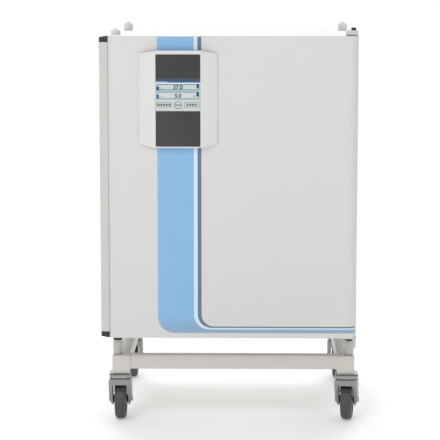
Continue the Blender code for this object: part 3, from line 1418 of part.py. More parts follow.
def make_rear_fittings(parts):
    """The stopper in the port, the gas fitting, the mains inlet and the rocker switch."""
    seat = REAR_FACE_Y + SEAT
    plug = PORT_RADIUS - SEAT
    profile = [
        (0, seat + STOPPER_HEAD),
        (STOPPER_END_RADIUS, seat + STOPPER_HEAD),
        (STOPPER_HEAD_RADIUS, seat + STOPPER_HEAD - STOPPER_EDGE),
        (STOPPER_HEAD_RADIUS, seat),
        (plug, seat),
        (STOPPER_TIP_RADIUS, seat - STOPPER_LENGTH),
        (0, seat - STOPPER_LENGTH),
    ]
    stopper = revolved("port_stopper", profile, (PORT_X, 0, PORT_Z), "Y", 20, parts)
    painted(pivoted(smooth(stopper), (PORT_X, seat, PORT_Z)), SILICONE)

    end = REAR_FACE_Y + GAS_REACH
    tail = REAR_FACE_Y - GAS_TAIL
    second = end - GAS_BARB_PITCH
    profile = [
        (GAS_BORE_RADIUS, end),
        (GAS_WAIST_RADIUS, end),
        (GAS_BARB_RADIUS, end - GAS_BARB_SLOPE),
        (GAS_WAIST_RADIUS, second),
        (GAS_BARB_RADIUS, second - GAS_BARB_SLOPE),
        (GAS_WAIST_RADIUS, second - GAS_BARB_PITCH),
        (GAS_WAIST_RADIUS, seat + GAS_NUT),
        (GAS_NUT_RADIUS, seat + GAS_NUT),
        (GAS_NUT_RADIUS, seat),
        (GAS_STEM_RADIUS, seat),
        (GAS_STEM_RADIUS, tail),
        (GAS_BORE_RADIUS, tail),
    ]
    fitting = revolved("gas_fitting", profile, (GAS_X, 0, GAS_Z), "Y", 12, parts, ring=True)
    painted(smooth(fitting), BRASS)

    half_w, half_h = INLET_WIDTH / 2, INLET_HEIGHT / 2
    body_w, body_h = INLET_BODY_WIDTH / 2, INLET_BODY_HEIGHT / 2
    flange_low = (INLET_X - half_w, seat, INLET_Z - half_h)
    flange_high = (INLET_X + half_w, seat + INLET_PLATE, INLET_Z + half_h)
    inlet = block("power_inlet", flange_low, flange_high, parts)
    body_low = (INLET_X - body_w, seat - INLET_BODY_DEPTH, INLET_Z - body_h)
    body_high = (INLET_X + body_w, seat + INLET_PLATE / 2, INLET_Z + body_h)
    joined(inlet, block("body", body_low, body_high, parts))
    wall = INLET_WALL
    room_low = (INLET_X - body_w + wall, seat - INLET_BODY_DEPTH + wall, INLET_Z - body_h + wall)
    room_high = (INLET_X + body_w - wall, seat + CUT_PAST, INLET_Z + body_h - wall)
    cut(inlet, block("room", room_low, room_high, parts))
    blades = []
    blade_w, blade_h = INLET_BLADE_WIDTH / 2, INLET_BLADE_HEIGHT / 2
    for x, z in INLET_BLADES:
        blade_low = (INLET_X + x - blade_w, room_low[1] - SINK, INLET_Z + z - blade_h)
        blade_high = (INLET_X + x + blade_w, seat - INLET_BLADE_SETBACK, INLET_Z + z + blade_h)
        blades.append(block("blade", blade_low, blade_high, parts))
    painted(joined(inlet, *blades), BLACK)

    half_w, half_h = SWITCH_WIDTH / 2, SWITCH_HEIGHT / 2 - SWITCH_AIR
    line = REAR_FACE_Y - SWITCH_PIVOT_DEPTH
    face = REAR_FACE_Y + SWITCH_PROUD
    rocker = [
        (face + SWITCH_ROCK, INLET_Z + half_h - SWITCH_DISH),
        (face - SWITCH_DISH, INLET_Z),
        (face, INLET_Z - half_h + SWITCH_DISH),
        (line - SWITCH_ROOT / 2, INLET_Z - half_h + SWITCH_ROOT / 2),
        (line - SWITCH_ROOT, INLET_Z),
        (line - SWITCH_ROOT / 2, INLET_Z + half_h - SWITCH_ROOT / 2),
    ]
    switch = side_outline("power_switch", [rocker], SWITCH_X - half_w, SWITCH_X + half_w, parts)
    painted(pivoted(switch, (SWITCH_X, line, INLET_Z)), BLACK)


def stand_on_origin(parts):
    """Parent every piece to one empty, and put the middle of the footprint at the world's origin."""
    root = bpy.data.objects.new("incubator", None)
    parts.objects.link(root)
    bpy.context.view_layer.update()
    pieces = [obj for obj in parts.objects if obj.type == "MESH"]
    corners = [obj.matrix_world @ vertex.co for obj in pieces for vertex in obj.data.vertices]
    xs = [corner.x for corner in corners]
    ys = [corner.y for corner in corners]
    for obj in pieces:
        obj.parent = root
    root.location = (-(min(xs) + max(xs)) / 2, -(min(ys) + max(ys)) / 2, 0)


def main():
    clear_scene()
    parts = make_collection("carbon_dioxide_incubator")
    make_stand(parts)
    for corner in CORNERS:
        make_caster(corner, parts)
    make_feet(parts)
    make_studs(parts)
    make_casing(parts)
    make_front_frame(parts)
    make_chamber(parts)
    make_insulation(parts)
    make_door_shell(parts)
    make_door_liner(parts)
    make_door_gasket(parts)
    make_grip(parts)
    make_hinges(parts)
    make_control_panel(parts)
    make_glass_door(parts)
    make_shelf_ladders(parts)
    make_shelves(parts)
    make_fan(parts)
    make_sensor(parts)
    make_rear_cover(parts)
    make_rear_fittings(parts)
    stand_on_origin(parts)


main()
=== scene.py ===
"""A carbon dioxide incubator on its wheeled stand, dressed for a studio photograph.

Metres, +Z up, front towards -Y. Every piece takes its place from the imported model's boxes.
"""

import json
import math

import bmesh
import bpy
import numpy as np
from mathutils import Matrix, Vector

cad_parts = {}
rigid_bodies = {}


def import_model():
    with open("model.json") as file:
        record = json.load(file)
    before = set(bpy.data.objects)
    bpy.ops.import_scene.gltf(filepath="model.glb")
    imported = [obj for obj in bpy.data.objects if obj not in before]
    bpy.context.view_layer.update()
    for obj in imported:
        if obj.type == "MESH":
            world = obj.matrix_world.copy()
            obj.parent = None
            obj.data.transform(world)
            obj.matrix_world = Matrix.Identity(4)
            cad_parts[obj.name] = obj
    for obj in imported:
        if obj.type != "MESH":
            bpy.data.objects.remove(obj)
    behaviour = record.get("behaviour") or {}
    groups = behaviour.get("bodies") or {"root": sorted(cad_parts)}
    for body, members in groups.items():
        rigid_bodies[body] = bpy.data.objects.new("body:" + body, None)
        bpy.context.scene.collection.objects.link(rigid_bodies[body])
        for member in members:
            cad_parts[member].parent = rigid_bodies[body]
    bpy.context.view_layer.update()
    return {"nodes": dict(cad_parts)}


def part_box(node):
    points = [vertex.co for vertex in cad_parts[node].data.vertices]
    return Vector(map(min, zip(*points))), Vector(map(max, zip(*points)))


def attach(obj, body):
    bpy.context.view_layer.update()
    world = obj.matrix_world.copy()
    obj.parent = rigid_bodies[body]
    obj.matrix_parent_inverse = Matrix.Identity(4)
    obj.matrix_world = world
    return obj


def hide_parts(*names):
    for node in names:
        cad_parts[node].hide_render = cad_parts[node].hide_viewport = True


for startup_object in list(bpy.data.objects):
    bpy.data.objects.remove(startup_object, do_unlink=True)
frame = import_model()


# The studio: a pale floor sheet that glows a little, a surround that is white to the lens and dimmer as
# light, a soft box high in front on the left that leans to the floor, a weak fill on the right, a lamp high
# behind, and a long lens 5.7 m away. A paint on the front renders about as it is written.
SURROUND_LIGHT = 0.45
BOX_WATTS = 86.0
BOX_SIZE = 2.4
BOX_PLACE = (-1.8, -4.6, 3.9)
BOX_TARGET = (-0.9, -2.6, 0.0)
FILL_LIGHT = 0.08
FILL_TURN_DEG = (62, 0, 50)
BACK_LIGHT = 1.68
BACK_TURN_DEG = (-46, 0, 0)
LAMP_SPREAD_DEG = 50
FLOOR_HALF = 90.0
FLOOR_PAINT = 0.92
FLOOR_LIFT = 0.25
LENS_MM = 154.66
SENSOR_MM = 36.0
FAR_CLIP = 200.0
CAMERA_PLACE = (0.0605, -6.0683, 1.4341)
CAMERA_DOWN = 0.1378
CAMERA_LEFT = 0.0170
WHITE = (1.0, 1.0, 1.0, 1.0)


def feed(tree, node, inputs):
    """Give each input of a node its value, or a link where the value is an output or another node."""
    for key, value in inputs.items():
        if isinstance(value, bpy.types.Node):
            value = value.outputs[0]
        if isinstance(value, bpy.types.NodeSocket):
            tree.links.new(value, node.inputs[key])
        else:
            node.inputs[key].default_value = value


def add_node(tree, kind, inputs, **options):
    """A new shader node with its options set and its inputs fed."""
    node = tree.nodes.new("ShaderNode" + kind)
    for option, value in options.items():
        setattr(node, option, value)
    feed(tree, node, inputs)
    return node


def emptied(holder):
    """The node tree of a world or a material, with nothing in it."""
    holder.use_nodes = True
    holder.node_tree.nodes.clear()
    return holder.node_tree


def placed(name, data):
    """A new object of the data, in the scene."""
    thing = bpy.data.objects.new(name, data)
    bpy.context.scene.collection.objects.link(thing)
    return thing


world = bpy.data.worlds.new("white surround")
tree = emptied(world)
path = add_node(tree, "LightPath", {}).outputs
seen = add_node(tree, "Math", {0: path["Is Camera Ray"], 1: path["Is Glossy Ray"]}, operation="MAXIMUM")
seen = add_node(tree, "Math", {0: seen, 1: path["Is Transmission Ray"]}, operation="MAXIMUM")
dim = add_node(tree, "Background", {"Color": WHITE, "Strength": SURROUND_LIGHT})
full = add_node(tree, "Background", {"Color": WHITE, "Strength": 1.0})
add_node(tree, "OutputWorld", {"Surface": add_node(tree, "MixShader", {0: seen, 1: dim, 2: full})})
bpy.context.scene.world = world
bpy.context.scene.view_settings.view_transform = "Standard"

LAMPS = {"fill lamp": (FILL_LIGHT, FILL_TURN_DEG), "back lamp": (BACK_LIGHT, BACK_TURN_DEG)}
for name, (energy, turns) in LAMPS.items():
    lamp = bpy.data.lights.new(name, "SUN")
    lamp.energy = energy
    lamp.angle = math.radians(LAMP_SPREAD_DEG)
    placed(name, lamp).rotation_euler = [math.radians(turn) for turn in turns]
box_lamp = bpy.data.lights.new("soft box", "AREA")
box_lamp.energy = BOX_WATTS
box_lamp.size = BOX_SIZE
soft_box = placed("soft box", box_lamp)
soft_box.location = BOX_PLACE
aim = Vector(BOX_TARGET) - Vector(BOX_PLACE)
soft_box.rotation_euler = aim.to_track_quat("-Z", "Y").to_euler()

floor_mesh = bpy.data.meshes.new("studio_floor")
floor_corners = FLOOR_HALF * np.array([(-1, -1, 0), (1, -1, 0), (1, 1, 0), (-1, 1, 0)])
floor_mesh.from_pydata(floor_corners.tolist(), [], [(0, 1, 2, 3)])
floor_paint = bpy.data.materials.new("seamless paper")
tree = emptied(floor_paint)
paper = add_node(tree, "BsdfDiffuse", {"Color": (FLOOR_PAINT, FLOOR_PAINT, FLOOR_PAINT, 1.0)})
lift = add_node(tree, "Emission", {"Strength": FLOOR_LIFT})
add_node(tree, "OutputMaterial", {"Surface": add_node(tree, "AddShader", {0: paper, 1: lift})})
floor_mesh.materials.append(floor_paint)
studio_floor = placed("studio_floor", floor_mesh)

lens = bpy.data.cameras.new("long lens")
lens.lens = LENS_MM
lens.sensor_width = SENSOR_MM
lens.clip_end = FAR_CLIP
camera = placed("long lens", lens)
camera.location = CAMERA_PLACE
camera.rotation_euler = (math.pi / 2 - CAMERA_DOWN, 0.0, CAMERA_LEFT)
bpy.context.scene.camera = camera


# The outer door's skin: one pan of 1.8 mm sheet steel, folded round a large radius at the hinge edge and
# a small one at the grip, and powder coated warm white. It hangs on pins at its top and bottom.
DOOR_SHEET = 0.0018
HINGE_EDGE_FOLD = 0.028
FREE_EDGE_FOLD = 0.0006
END_FOLD = 0.0016
FOLD_STEPS = 14
SHARP_DEG = 32
WELD_DISTANCE = 2e-6
GLOSS_SWING = 0.12
COAT_ROUGHNESS = 0.12
NOISE_SPAN = (0.3, 0.7)


def extent(node):
    """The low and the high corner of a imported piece's box."""
    return tuple(np.array(corner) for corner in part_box(node))


def rounding(count, radius):
    """Insets r (1 - cos t) and setbacks r (1 - sin t) round an edge, from the side wall to the face."""
    turn = np.linspace(0, math.pi / 2, count)
    return radius * (1 - np.cos(turn)), radius * (1 - np.sin(turn))


def fold_in(depth, radius):
    """How far a rounded edge has drawn in at a depth behind the face: r - sqrt(r2 - (r - depth)2)."""
    left_over = np.clip(radius - depth, 0.0, radius)
    return radius - np.sqrt(radius**2 - left_over**2)


def rectangles(left, right, bottom, top, radius, steps=6):
    """Rounded rectangles, a row for each set of sides: a quarter circle about a centre one radius in."""
    left, right, bottom, top, radius = np.broadcast_arrays(left, right, bottom, top, radius)
    turns = (np.arange(4)[:, None] * math.pi / 2 + np.linspace(0, math.pi / 2, steps)).ravel()
    centre_x = np.stack([right - radius, left + radius, left + radius, right - radius], -1)
    centre_z = np.stack([top - radius, top - radius, bottom + radius, bottom + radius], -1)
    across = np.repeat(centre_x, steps, -1) + radius[..., None] * np.cos(turns)
    up = np.repeat(centre_z, steps, -1) + radius[..., None] * np.sin(turns)
    return np.stack([across, up], -1)


def stood(flat, height, axis):
    """Points in the plane across an axis, and a height along it, as x, y and z."""
    height = np.broadcast_to(np.asarray(height)[..., None], flat.shape[:-1])
    order = {"x": (2, 0, 1), "y": (0, 2, 1), "z": (0, 1, 2)}[axis]
    parts = (flat[..., 0], flat[..., 1], height)
    return np.stack([parts[i] for i in order], -1)


def finished(name, mesh, sharp_deg=SHARP_DEG, weld=WELD_DISTANCE, flat_deg=0):
    """The mesh as a smooth object, its doubles merged and its faces turned outwards.

    They face outwards if the volume inside, a sixth of the sum of a . (b x c), is positive. Faces
    that meet at less than the flat angle, if there is one, are joined.
    """
    welded = bmesh.new()
    welded.from_mesh(mesh)
    bmesh.ops.remove_doubles(welded, verts=welded.verts, dist=weld)
    if flat_deg:
        flat = math.radians(flat_deg)
        bmesh.ops.dissolve_limit(welded, angle_limit=flat, verts=welded.verts, edges=welded.edges)
    if welded.calc_volume(signed=True) < 0:
        bmesh.ops.reverse_faces(welded, faces=welded.faces)
    welded.to_mesh(mesh)
    welded.free()
    mesh.shade_smooth()
    mesh.set_sharp_from_angle(angle=math.radians(sharp_deg))
    return placed(name, mesh)


def skin(name, grid, around=True, ends=0, sharp_deg=SHARP_DEG):
    """A mesh over a grid of points, where each four neighbours are a face.

    With around set, the last column meets the first. Of the end rows none is filled in, or the last
    one, or with ends at 2 both.
    """
    rows, columns = grid.shape[:2]
    index = np.arange(rows * columns).reshape(rows, columns)
    if around:
        index = np.concatenate([index, index[:, :1]], 1)
    quads = np.stack([index[:-1, :-1], index[1:, :-1], index[1:, 1:], index[:-1, 1:]], -1)
    faces = quads.reshape(-1, 4).tolist()
    if ends == 2:
        faces.append(list(range(columns)))
    if ends:
        faces.append(list(range(rows * columns - 1, (rows - 1) * columns - 1, -1)))
    mesh = bpy.data.meshes.new(name)
    mesh.from_pydata(grid.reshape(-1, 3).tolist(), [], faces)
    return finished(name, mesh, sharp_deg)


def walled(piece, sheet):
    """Give an open skin the thickness of its sheet, inwards."""
    wall = piece.modifiers.new("sheet", "SOLIDIFY")
    wall.thickness = sheet
    wall.offset = -1.0
    wall.use_even_offset = True
    return piece


def linear(colour, share=1.0):
    """An sRGB colour in 0 to 255 as linear RGBA, times a share: the curve of each channel undone."""
    value = np.array(colour) / 255
    channels = np.where(value <= 0.04045, value / 12.92, ((value + 0.055) / 1.055) ** 2.4)
    return (*np.minimum(1.0, share * channels), 1.0)


def mixed(tree, share, first, second):
    """The output of a mix of two colours, from the first at share 0 to the second at 1."""
    return add_node(tree, "Mix", {0: share, 6: first, 7: second}, data_type="RGBA").outputs[2]


def coating(
    name, colour, roughness, metallic=0.0, grain=(1.0, 1.0, 1.0), grain_size=0.0012, relief=0.00003,
    mottle=0.015, patch=0.12, coat=0.0, share=1.0,
):
    """A finish with fine relief from one noise and slow changes of shade and gloss from another.

    Relief height = noise(place x grain / grain_size) x relief. Shade = colour x share x (1 +- mottle),
    and roughness moves with the same slow noise, whose patches are of the given size.
    """
    material = bpy.data.materials.new(name)
    material.use_nodes = True
    tree = material.node_tree
    place = add_node(tree, "TexCoord", {}).outputs["Object"]
    stretch = add_node(tree, "Mapping", {"Vector": place, "Scale": grain})
    fine = add_node(tree, "TexNoise", {"Vector": stretch, "Scale": 1 / grain_size, "Detail": 3.0})
    slow = add_node(tree, "TexNoise", {"Vector": stretch, "Scale": 1 / patch, "Detail": 4.0})
    gloss = {"Value": slow, "From Min": NOISE_SPAN[0], "From Max": NOISE_SPAN[1]}
    gloss["To Min"] = roughness * (1 - GLOSS_SWING)
    gloss["To Max"] = min(1.0, roughness * (1 + GLOSS_SWING))
    dark, pale = linear(colour, share * (1 - mottle)), linear(colour, share * (1 + mottle))
    surface = {
        "Base Color": mixed(tree, slow, dark, pale),
        "Roughness": add_node(tree, "MapRange", gloss),
        "Metallic": metallic,
        "Coat Weight": coat,
        "Coat Roughness": COAT_ROUGHNESS,
        "Normal": add_node(tree, "Bump", {"Height": fine, "Distance": relief, "Strength": 1.0}),
    }
    feed(tree, tree.nodes["Principled BSDF"], surface)
    return material


def dressed(piece, material, body, slot=None, nodes_replaced=()):
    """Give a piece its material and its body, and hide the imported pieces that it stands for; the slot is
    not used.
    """
    piece.data.materials.clear()
    piece.data.materials.append(material)
    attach(piece, body)
    if nodes_replaced:
        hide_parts(*nodes_replaced)
    return piece


door_low, door_high = extent("door_shell")
powder_white = coating("door powder coat", (217, 217, 215), 0.42, relief=0.000020, mottle=0.006)
folds = [rounding(FOLD_STEPS, radius)[1] for radius in (HINGE_EDGE_FOLD, FREE_EDGE_FOLD, END_FOLD)]
depths = np.concatenate([[door_high[1] - door_low[1]], *folds])
depths = np.unique(np.round(depths, 7))[::-1]
door_rings = rectangles(
    door_low[0] + fold_in(depths, FREE_EDGE_FOLD),
    door_high[0] - fold_in(depths, HINGE_EDGE_FOLD),
    door_low[2] + fold_in(depths, END_FOLD),
    door_high[2] - fold_in(depths, END_FOLD),
    END_FOLD,
)
door_skin = skin("door_skin", stood(door_rings, door_low[1] + depths, "y"), ends=1)
dressed(walled(door_skin, DOOR_SHEET), powder_white, "door", "white_paint", ["door_shell"])


# Printed vinyl stripes on the door's face: a broad pale blue one down the left, a white line and a dark
# blue line beside it, all three turning through a corner and narrowing along the foot of the door, where
# they follow the sheet round the hinge edge. Cut film, pressed on.
STRIPE_TOP = 1.2000
STRIPE_END = 0.3720
STRIPE_STATIONS = (0.05, 0.20)
FILM = 0.00012
FILM_AIR = 0.00004
# Left edge and its lower edge, with the corner's radius between them, from the outside in
STRIPE_EDGES = [
    (-0.2290, 0.2980, 0.050),
    (-0.1190, 0.3090, 0.046),
    (-0.1075, 0.3140, 0.042),
    (-0.0960, 0.3182, 0.038),
]
# Shades at the left, the right and the foot, where left and right lie, and between which heights it turns
FILMS = {
    "pale blue": [(140, 184, 226), (134, 184, 225), (137, 171, 202), -0.229, -0.150, 0.300, 0.360],
    "white": [(214, 232, 242), (214, 232, 242), (216, 224, 230), -0.119, -0.107, 0.30, 0.35],
    "dark blue": [(86, 118, 150), (86, 118, 152), (98, 122, 150), -0.107, -0.096, 0.30, 0.35],
}
door_middle = (door_low[0] + door_high[0]) / 2


def stripe_edge(left, low, radius):
    """Down a vertical line, round a quarter circle and along a level line, in x and z of the door."""
    turn = np.linspace(math.pi, 1.5 * math.pi, 25)
    flat_end = door_high[0] - door_middle - HINGE_EDGE_FOLD
    along = np.concatenate([STRIPE_STATIONS, np.linspace(flat_end, STRIPE_END, 16)])
    down = np.linspace(STRIPE_TOP, low + radius + 0.01, 8)
    x = np.concatenate([np.full(len(down), left), left + radius + radius * np.cos(turn), along])
    z = np.concatenate([down, low + radius + radius * np.sin(turn), np.full(len(along), low)])
    return np.stack([x, z], -1)


def on_door(x, z, lift):
    """Points on the door's face, a lift off it, which follow the hinge edge's quarter circle back."""
    past = np.clip(x + door_middle - (door_high[0] - HINGE_EDGE_FOLD), 0.0, HINGE_EDGE_FOLD)
    sine = past / HINGE_EDGE_FOLD
    cosine = np.sqrt(1 - sine**2)
    back = HINGE_EDGE_FOLD * (1 - cosine)
    return np.stack([x + door_middle + lift * sine, door_low[1] + back - lift * cosine, z], -1)


def stripe(name, outer, inner, colours):
    """Film between two edges, station by station, with a face and a back a film's thickness apart."""
    first = stripe_edge(*outer)
    last = stripe_edge(*inner)
    share = np.linspace(0, 1, 5)[:, None, None]
    flat = first + (last - first) * share
    face = on_door(flat[..., 0], flat[..., 1], FILM + FILM_AIR)
    back = on_door(flat[..., 0], flat[..., 1], FILM_AIR)
    ring = np.concatenate([face, back[::-1]]).transpose(1, 0, 2)
    return dressed(skin(name, ring, ends=2), colours, "door")


def graded_film(name, left_colour, right_colour, low_colour, left, right, low, high):
    """A satin film whose shade runs from left to right, and near the door's foot to a third shade."""
    material = coating(name, left_colour, 0.34, relief=0.000012, mottle=0.006, coat=0.15)
    tree = material.node_tree
    place = add_node(tree, "SeparateXYZ", {0: add_node(tree, "TexCoord", {}).outputs["Object"]}).outputs
    across = {"Value": place["X"], "From Min": door_middle + left, "From Max": door_middle + right}
    side = mixed(tree, add_node(tree, "MapRange", across), linear(left_colour), linear(right_colour))
    up = {"Value": place["Z"], "From Min": high, "From Max": low}
    up = add_node(tree, "MapRange", up, interpolation_type="SMOOTHSTEP")
    feed(tree, tree.nodes["Principled BSDF"], {"Base Color": mixed(tree, up, side, linear(low_colour))})
    return material


for (shade, film), outer, inner in zip(FILMS.items(), STRIPE_EDGES, STRIPE_EDGES[1:]):
    stripe("stripe_" + shade.replace(" ", "_"), outer, inner, graded_film(shade + " film", *film))


# The grip: an aluminium extrusion down the door's whole free edge, a hook that fingers reach into from
# behind, painted light grey. Black moulded caps close its two ends and slope down towards the outside.
GRIP_WALL = 0.005
GRIP_NOSE = 0.005
GRIP_SET_BACK = 0.0025
CAP_RISE = 0.0042
CAP_EDGE = 0.0007


def filleted(corners, radii, steps=7):
    """A closed outline with each corner turned into an arc.

    The arc's centre lies on the corner's bisector, radius / sin(half the angle) from the corner, and
    its points are the two tangent points' directions blended by the sines of the angles between them.
    """
    corner = np.array(corners, float)
    radius = np.broadcast_to(np.array(radii, float), len(corner))[:, None]
    back = np.roll(corner, 1, 0) - corner
    ahead = np.roll(corner, -1, 0) - corner
    back /= np.linalg.norm(back, axis=1, keepdims=True)
    ahead /= np.linalg.norm(ahead, axis=1, keepdims=True)
    half = np.arccos(np.clip((back * ahead).sum(1, keepdims=True), -1, 1)) / 2
    middle = back + ahead
    middle /= np.linalg.norm(middle, axis=1, keepdims=True)
    centre = corner + middle * radius / np.sin(half)
    first = corner + back * radius / np.tan(half) - centre
    last = corner + ahead * radius / np.tan(half) - centre
    span = (math.pi - 2 * half)[:, None]
    share = np.linspace(0, 1, steps)[None, :, None]
    arc = np.sin((1 - share) * span) * first[:, None] + np.sin(share * span) * last[:, None]
    return (centre[:, None] + arc / np.sin(span)).reshape(-1, 2)


def drawn_in(outline, inset):
    """The closed outline moved towards its inside by each inset: a row of points for each."""
    along = np.roll(outline, -1, 0) - np.roll(outline, 1, 0)
    along /= np.linalg.norm(along, axis=1, keepdims=True)
    after = np.roll(outline, -1, 0)
    area = (outline[:, 0] * after[:, 1] - outline[:, 1] * after[:, 0]).sum()
    inward = np.stack([-along[:, 1], along[:, 0]], -1) * np.sign(area)
    return outline + np.asarray(inset)[:, None, None] * inward


def bar(name, outline, low, high, axis, edge, steps=4, low_edge=None):
    """An outline carried from low to high along an axis, with both end edges rounded over.

    The low end can have an edge of its own.
    """
    high_in, high_short = rounding(steps, edge)
    share = 1.0 if low_edge is None else low_edge / edge
    insets = np.concatenate([share * high_in[::-1], high_in])
    heights = np.concatenate([low + share * high_short[::-1], high - high_short])
    return skin(name, stood(drawn_in(outline, insets), heights, axis), ends=2)


grip_low, (right, back, top) = extent("handle_profile")
left, front, bottom = grip_low + (0.0, GRIP_SET_BACK, 0.0)
inner_front = front + GRIP_WALL + 0.002
grip_hook = [(right, back), (right, front), (left, front), (left, back), (left + GRIP_WALL, back)]
grip_hook += [(left + GRIP_WALL, inner_front), (right - GRIP_WALL, inner_front), (right - GRIP_WALL, back)]
grip_hook = filleted(grip_hook, [0.0004, 0.0004, GRIP_NOSE, 0.0012, 0.0012, 0.0018, 0.0018, 0.0004])
grip_paint = coating("grip paint", (205, 204, 201), 0.38, grain=(1, 1, 0.06), relief=0.000012, mottle=0.010)
grip_bar = bar("grip_bar", grip_hook, bottom, top, "z", 0.0003)
dressed(grip_bar, grip_paint, "door", "grip_aluminium", ["handle_profile"])

cap_black = coating("moulded cap", (34, 34, 36), 0.50, grain_size=0.0007, relief=0.000030, mottle=0.03)
cap_corners = [(right, back), (right, front), (left, front), (left, back)]
cap_outline = filleted(cap_corners, [0.0013, 0.0013, GRIP_NOSE, 0.0013])
cap_in, cap_short = rounding(4, CAP_EDGE)
for end, up in (("bottom", -1), ("top", 1)):
    low, high = extent(f"handle_cap_{end}")
    free, joint = (high[2], low[2]) if up > 0 else (low[2], high[2])
    heights = np.concatenate([[joint], free - up * cap_short])
    grid = stood(drawn_in(cap_outline, np.concatenate([[0.0], cap_in])), heights, "z")
    share = ((heights - joint) / (free - joint))[:, None]
    grid[..., 2] -= up * CAP_RISE * share * (right - grid[..., 0]) / (right - left)
    cap = skin(f"grip_cap_{end}", grid, ends=2)
    dressed(cap, cap_black, "door", "black_plastic", [f"handle_cap_{end}"])


# The control panel's housing: a vacuum-formed white cover with a flat middle that stands 25 mm off the
# door, and a wing each side that falls back to it. It is screwed to the door from behind.
FLAT_HALF = 0.06825
WING_DROP = 0.010
WING_RISE = 0.0095
WING_EDGE = 0.0040
HOUSING_SHEET = 0.0025
HOUSING_EDGE = 0.0018
HOUSING_FOLD = 0.0040
WING_STATIONS = (0.085, 0.100)
UP_STATIONS = (0.030, 0.060)
GLASS_PROUD = 0.0006
panel_low, panel_high = extent("panel_housing")
panel_x = (panel_low[0] + panel_high[0]) / 2
panel_half = (panel_high[0] - panel_low[0]) / 2
panel_face = panel_low[1] + GLASS_PROUD


def soft_fold(distance, width):
    """How much a line bends after a fold: max(distance, 0), eased by a parabola within the width."""
    eased = (distance + width) ** 2 / (4 * width)
    return np.where(distance < -width, 0.0, np.where(distance > width, distance, eased))


edge_in, edge_back = rounding(6, HOUSING_EDGE)
fold_x = FLAT_HALF + np.linspace(-HOUSING_FOLD, HOUSING_FOLD, 7)
flat_x = np.concatenate([np.linspace(0, FLAT_HALF - 0.006, 5), fold_x, WING_STATIONS])
half_x = np.concatenate([flat_x, (panel_half - edge_in)[::-1], [panel_half]])
half_back = np.concatenate([np.zeros(len(flat_x)), edge_back[::-1], [edge_back[0]]])
across = np.concatenate([-half_x[::-1], half_x[1:]])
across_back = np.concatenate([half_back[::-1], half_back[1:]])
is_rim = np.abs(across) >= panel_half - 1e-9
is_rim[1:-1] = False
bend = soft_fold(np.abs(across) - FLAT_HALF, HOUSING_FOLD)
reach = panel_half - FLAT_HALF
face_y = panel_face + (panel_high[1] - WING_EDGE - panel_face) * bend / reach
top_z = panel_high[2] - WING_DROP * bend / reach
low_z = panel_low[2] + WING_RISE * bend / reach
up_in = np.concatenate([[0.0], edge_in, UP_STATIONS])
up_back = np.concatenate([[0.0], edge_back, np.zeros(len(UP_STATIONS))])
rows_z = np.concatenate([low_z + up_in[:, None], top_z - up_in[::-1, None]])
rows_y = face_y + np.concatenate([up_back, up_back[::-1]])[:, None] + across_back
rows_y[[0, -1]] = panel_high[1]
rows_y[:, is_rim] = panel_high[1]
rows_y = np.minimum(rows_y, panel_high[1])
rows_x = np.broadcast_to(panel_x + across, rows_z.shape)
panel_cover = skin("panel_cover", np.stack([rows_x, rows_y, rows_z], -1), around=False, sharp_deg=40)
panel_white = coating(
    "panel cover plastic", (222, 222, 220), 0.36, grain_size=0.0009, relief=0.000015, mottle=0.006
)
dressed(walled(panel_cover, HOUSING_SHEET), panel_white, "door", "panel_white", ["panel_housing"])


# The display: one dark glass the height of the panel's flat, bonded on, with a touch screen lit from
# behind near its top. The screen's tiles are flat fields of light, and it shows two plain numbers.
DISPLAY_CORNER = 0.0027
GLASS_EDGE = 0.0005
GLASS_SINK = 0.00026
LAYER = 0.00004
TILE_BACK = 0.0001
TILE_EDGE = 0.00001
TILE_Z = 0.002896
SCREEN_TOP = 1.0775
SCREEN_GLOW = 0.12
DIGIT_STROKE = 0.00050
DIGIT_LAYER = 6
DIGIT_SHARE = 0.70
DIAL = (22.1, 27.7)
DIAL_RADIUS = 0.0112
DIAL_WIDTH = 0.0016
glass_low, glass_high = extent("display_glass")
glass_face = panel_low[1] + GLASS_SINK
tile_back = glass_face + TILE_BACK
# The screen's own columns and rows run as the tiles do: 44 across the glass, and down from its top
TILE_X = (glass_high[0] - glass_low[0]) / 44
SCREEN_COLOURS = {
    "pale grey": (201, 207, 205),
    "shaded header": (62, 70, 84),
    "middle header": (52, 78, 112),
    "header blue": (45, 90, 138),
    "header haze": (158, 176, 202),
    "line": (224, 238, 244),
    "surround": (174, 203, 220),
    "field frame": (66, 98, 128),
    "first field": (197, 209, 202),
    "second field": (205, 213, 212),
    "dark blue": (28, 62, 100),
    "teal": (38, 74, 96),
    "royal blue": (52, 90, 145),
    "slate": (62, 68, 74),
    "key rim": (112, 120, 120),
    "ink": (26, 32, 40),
}
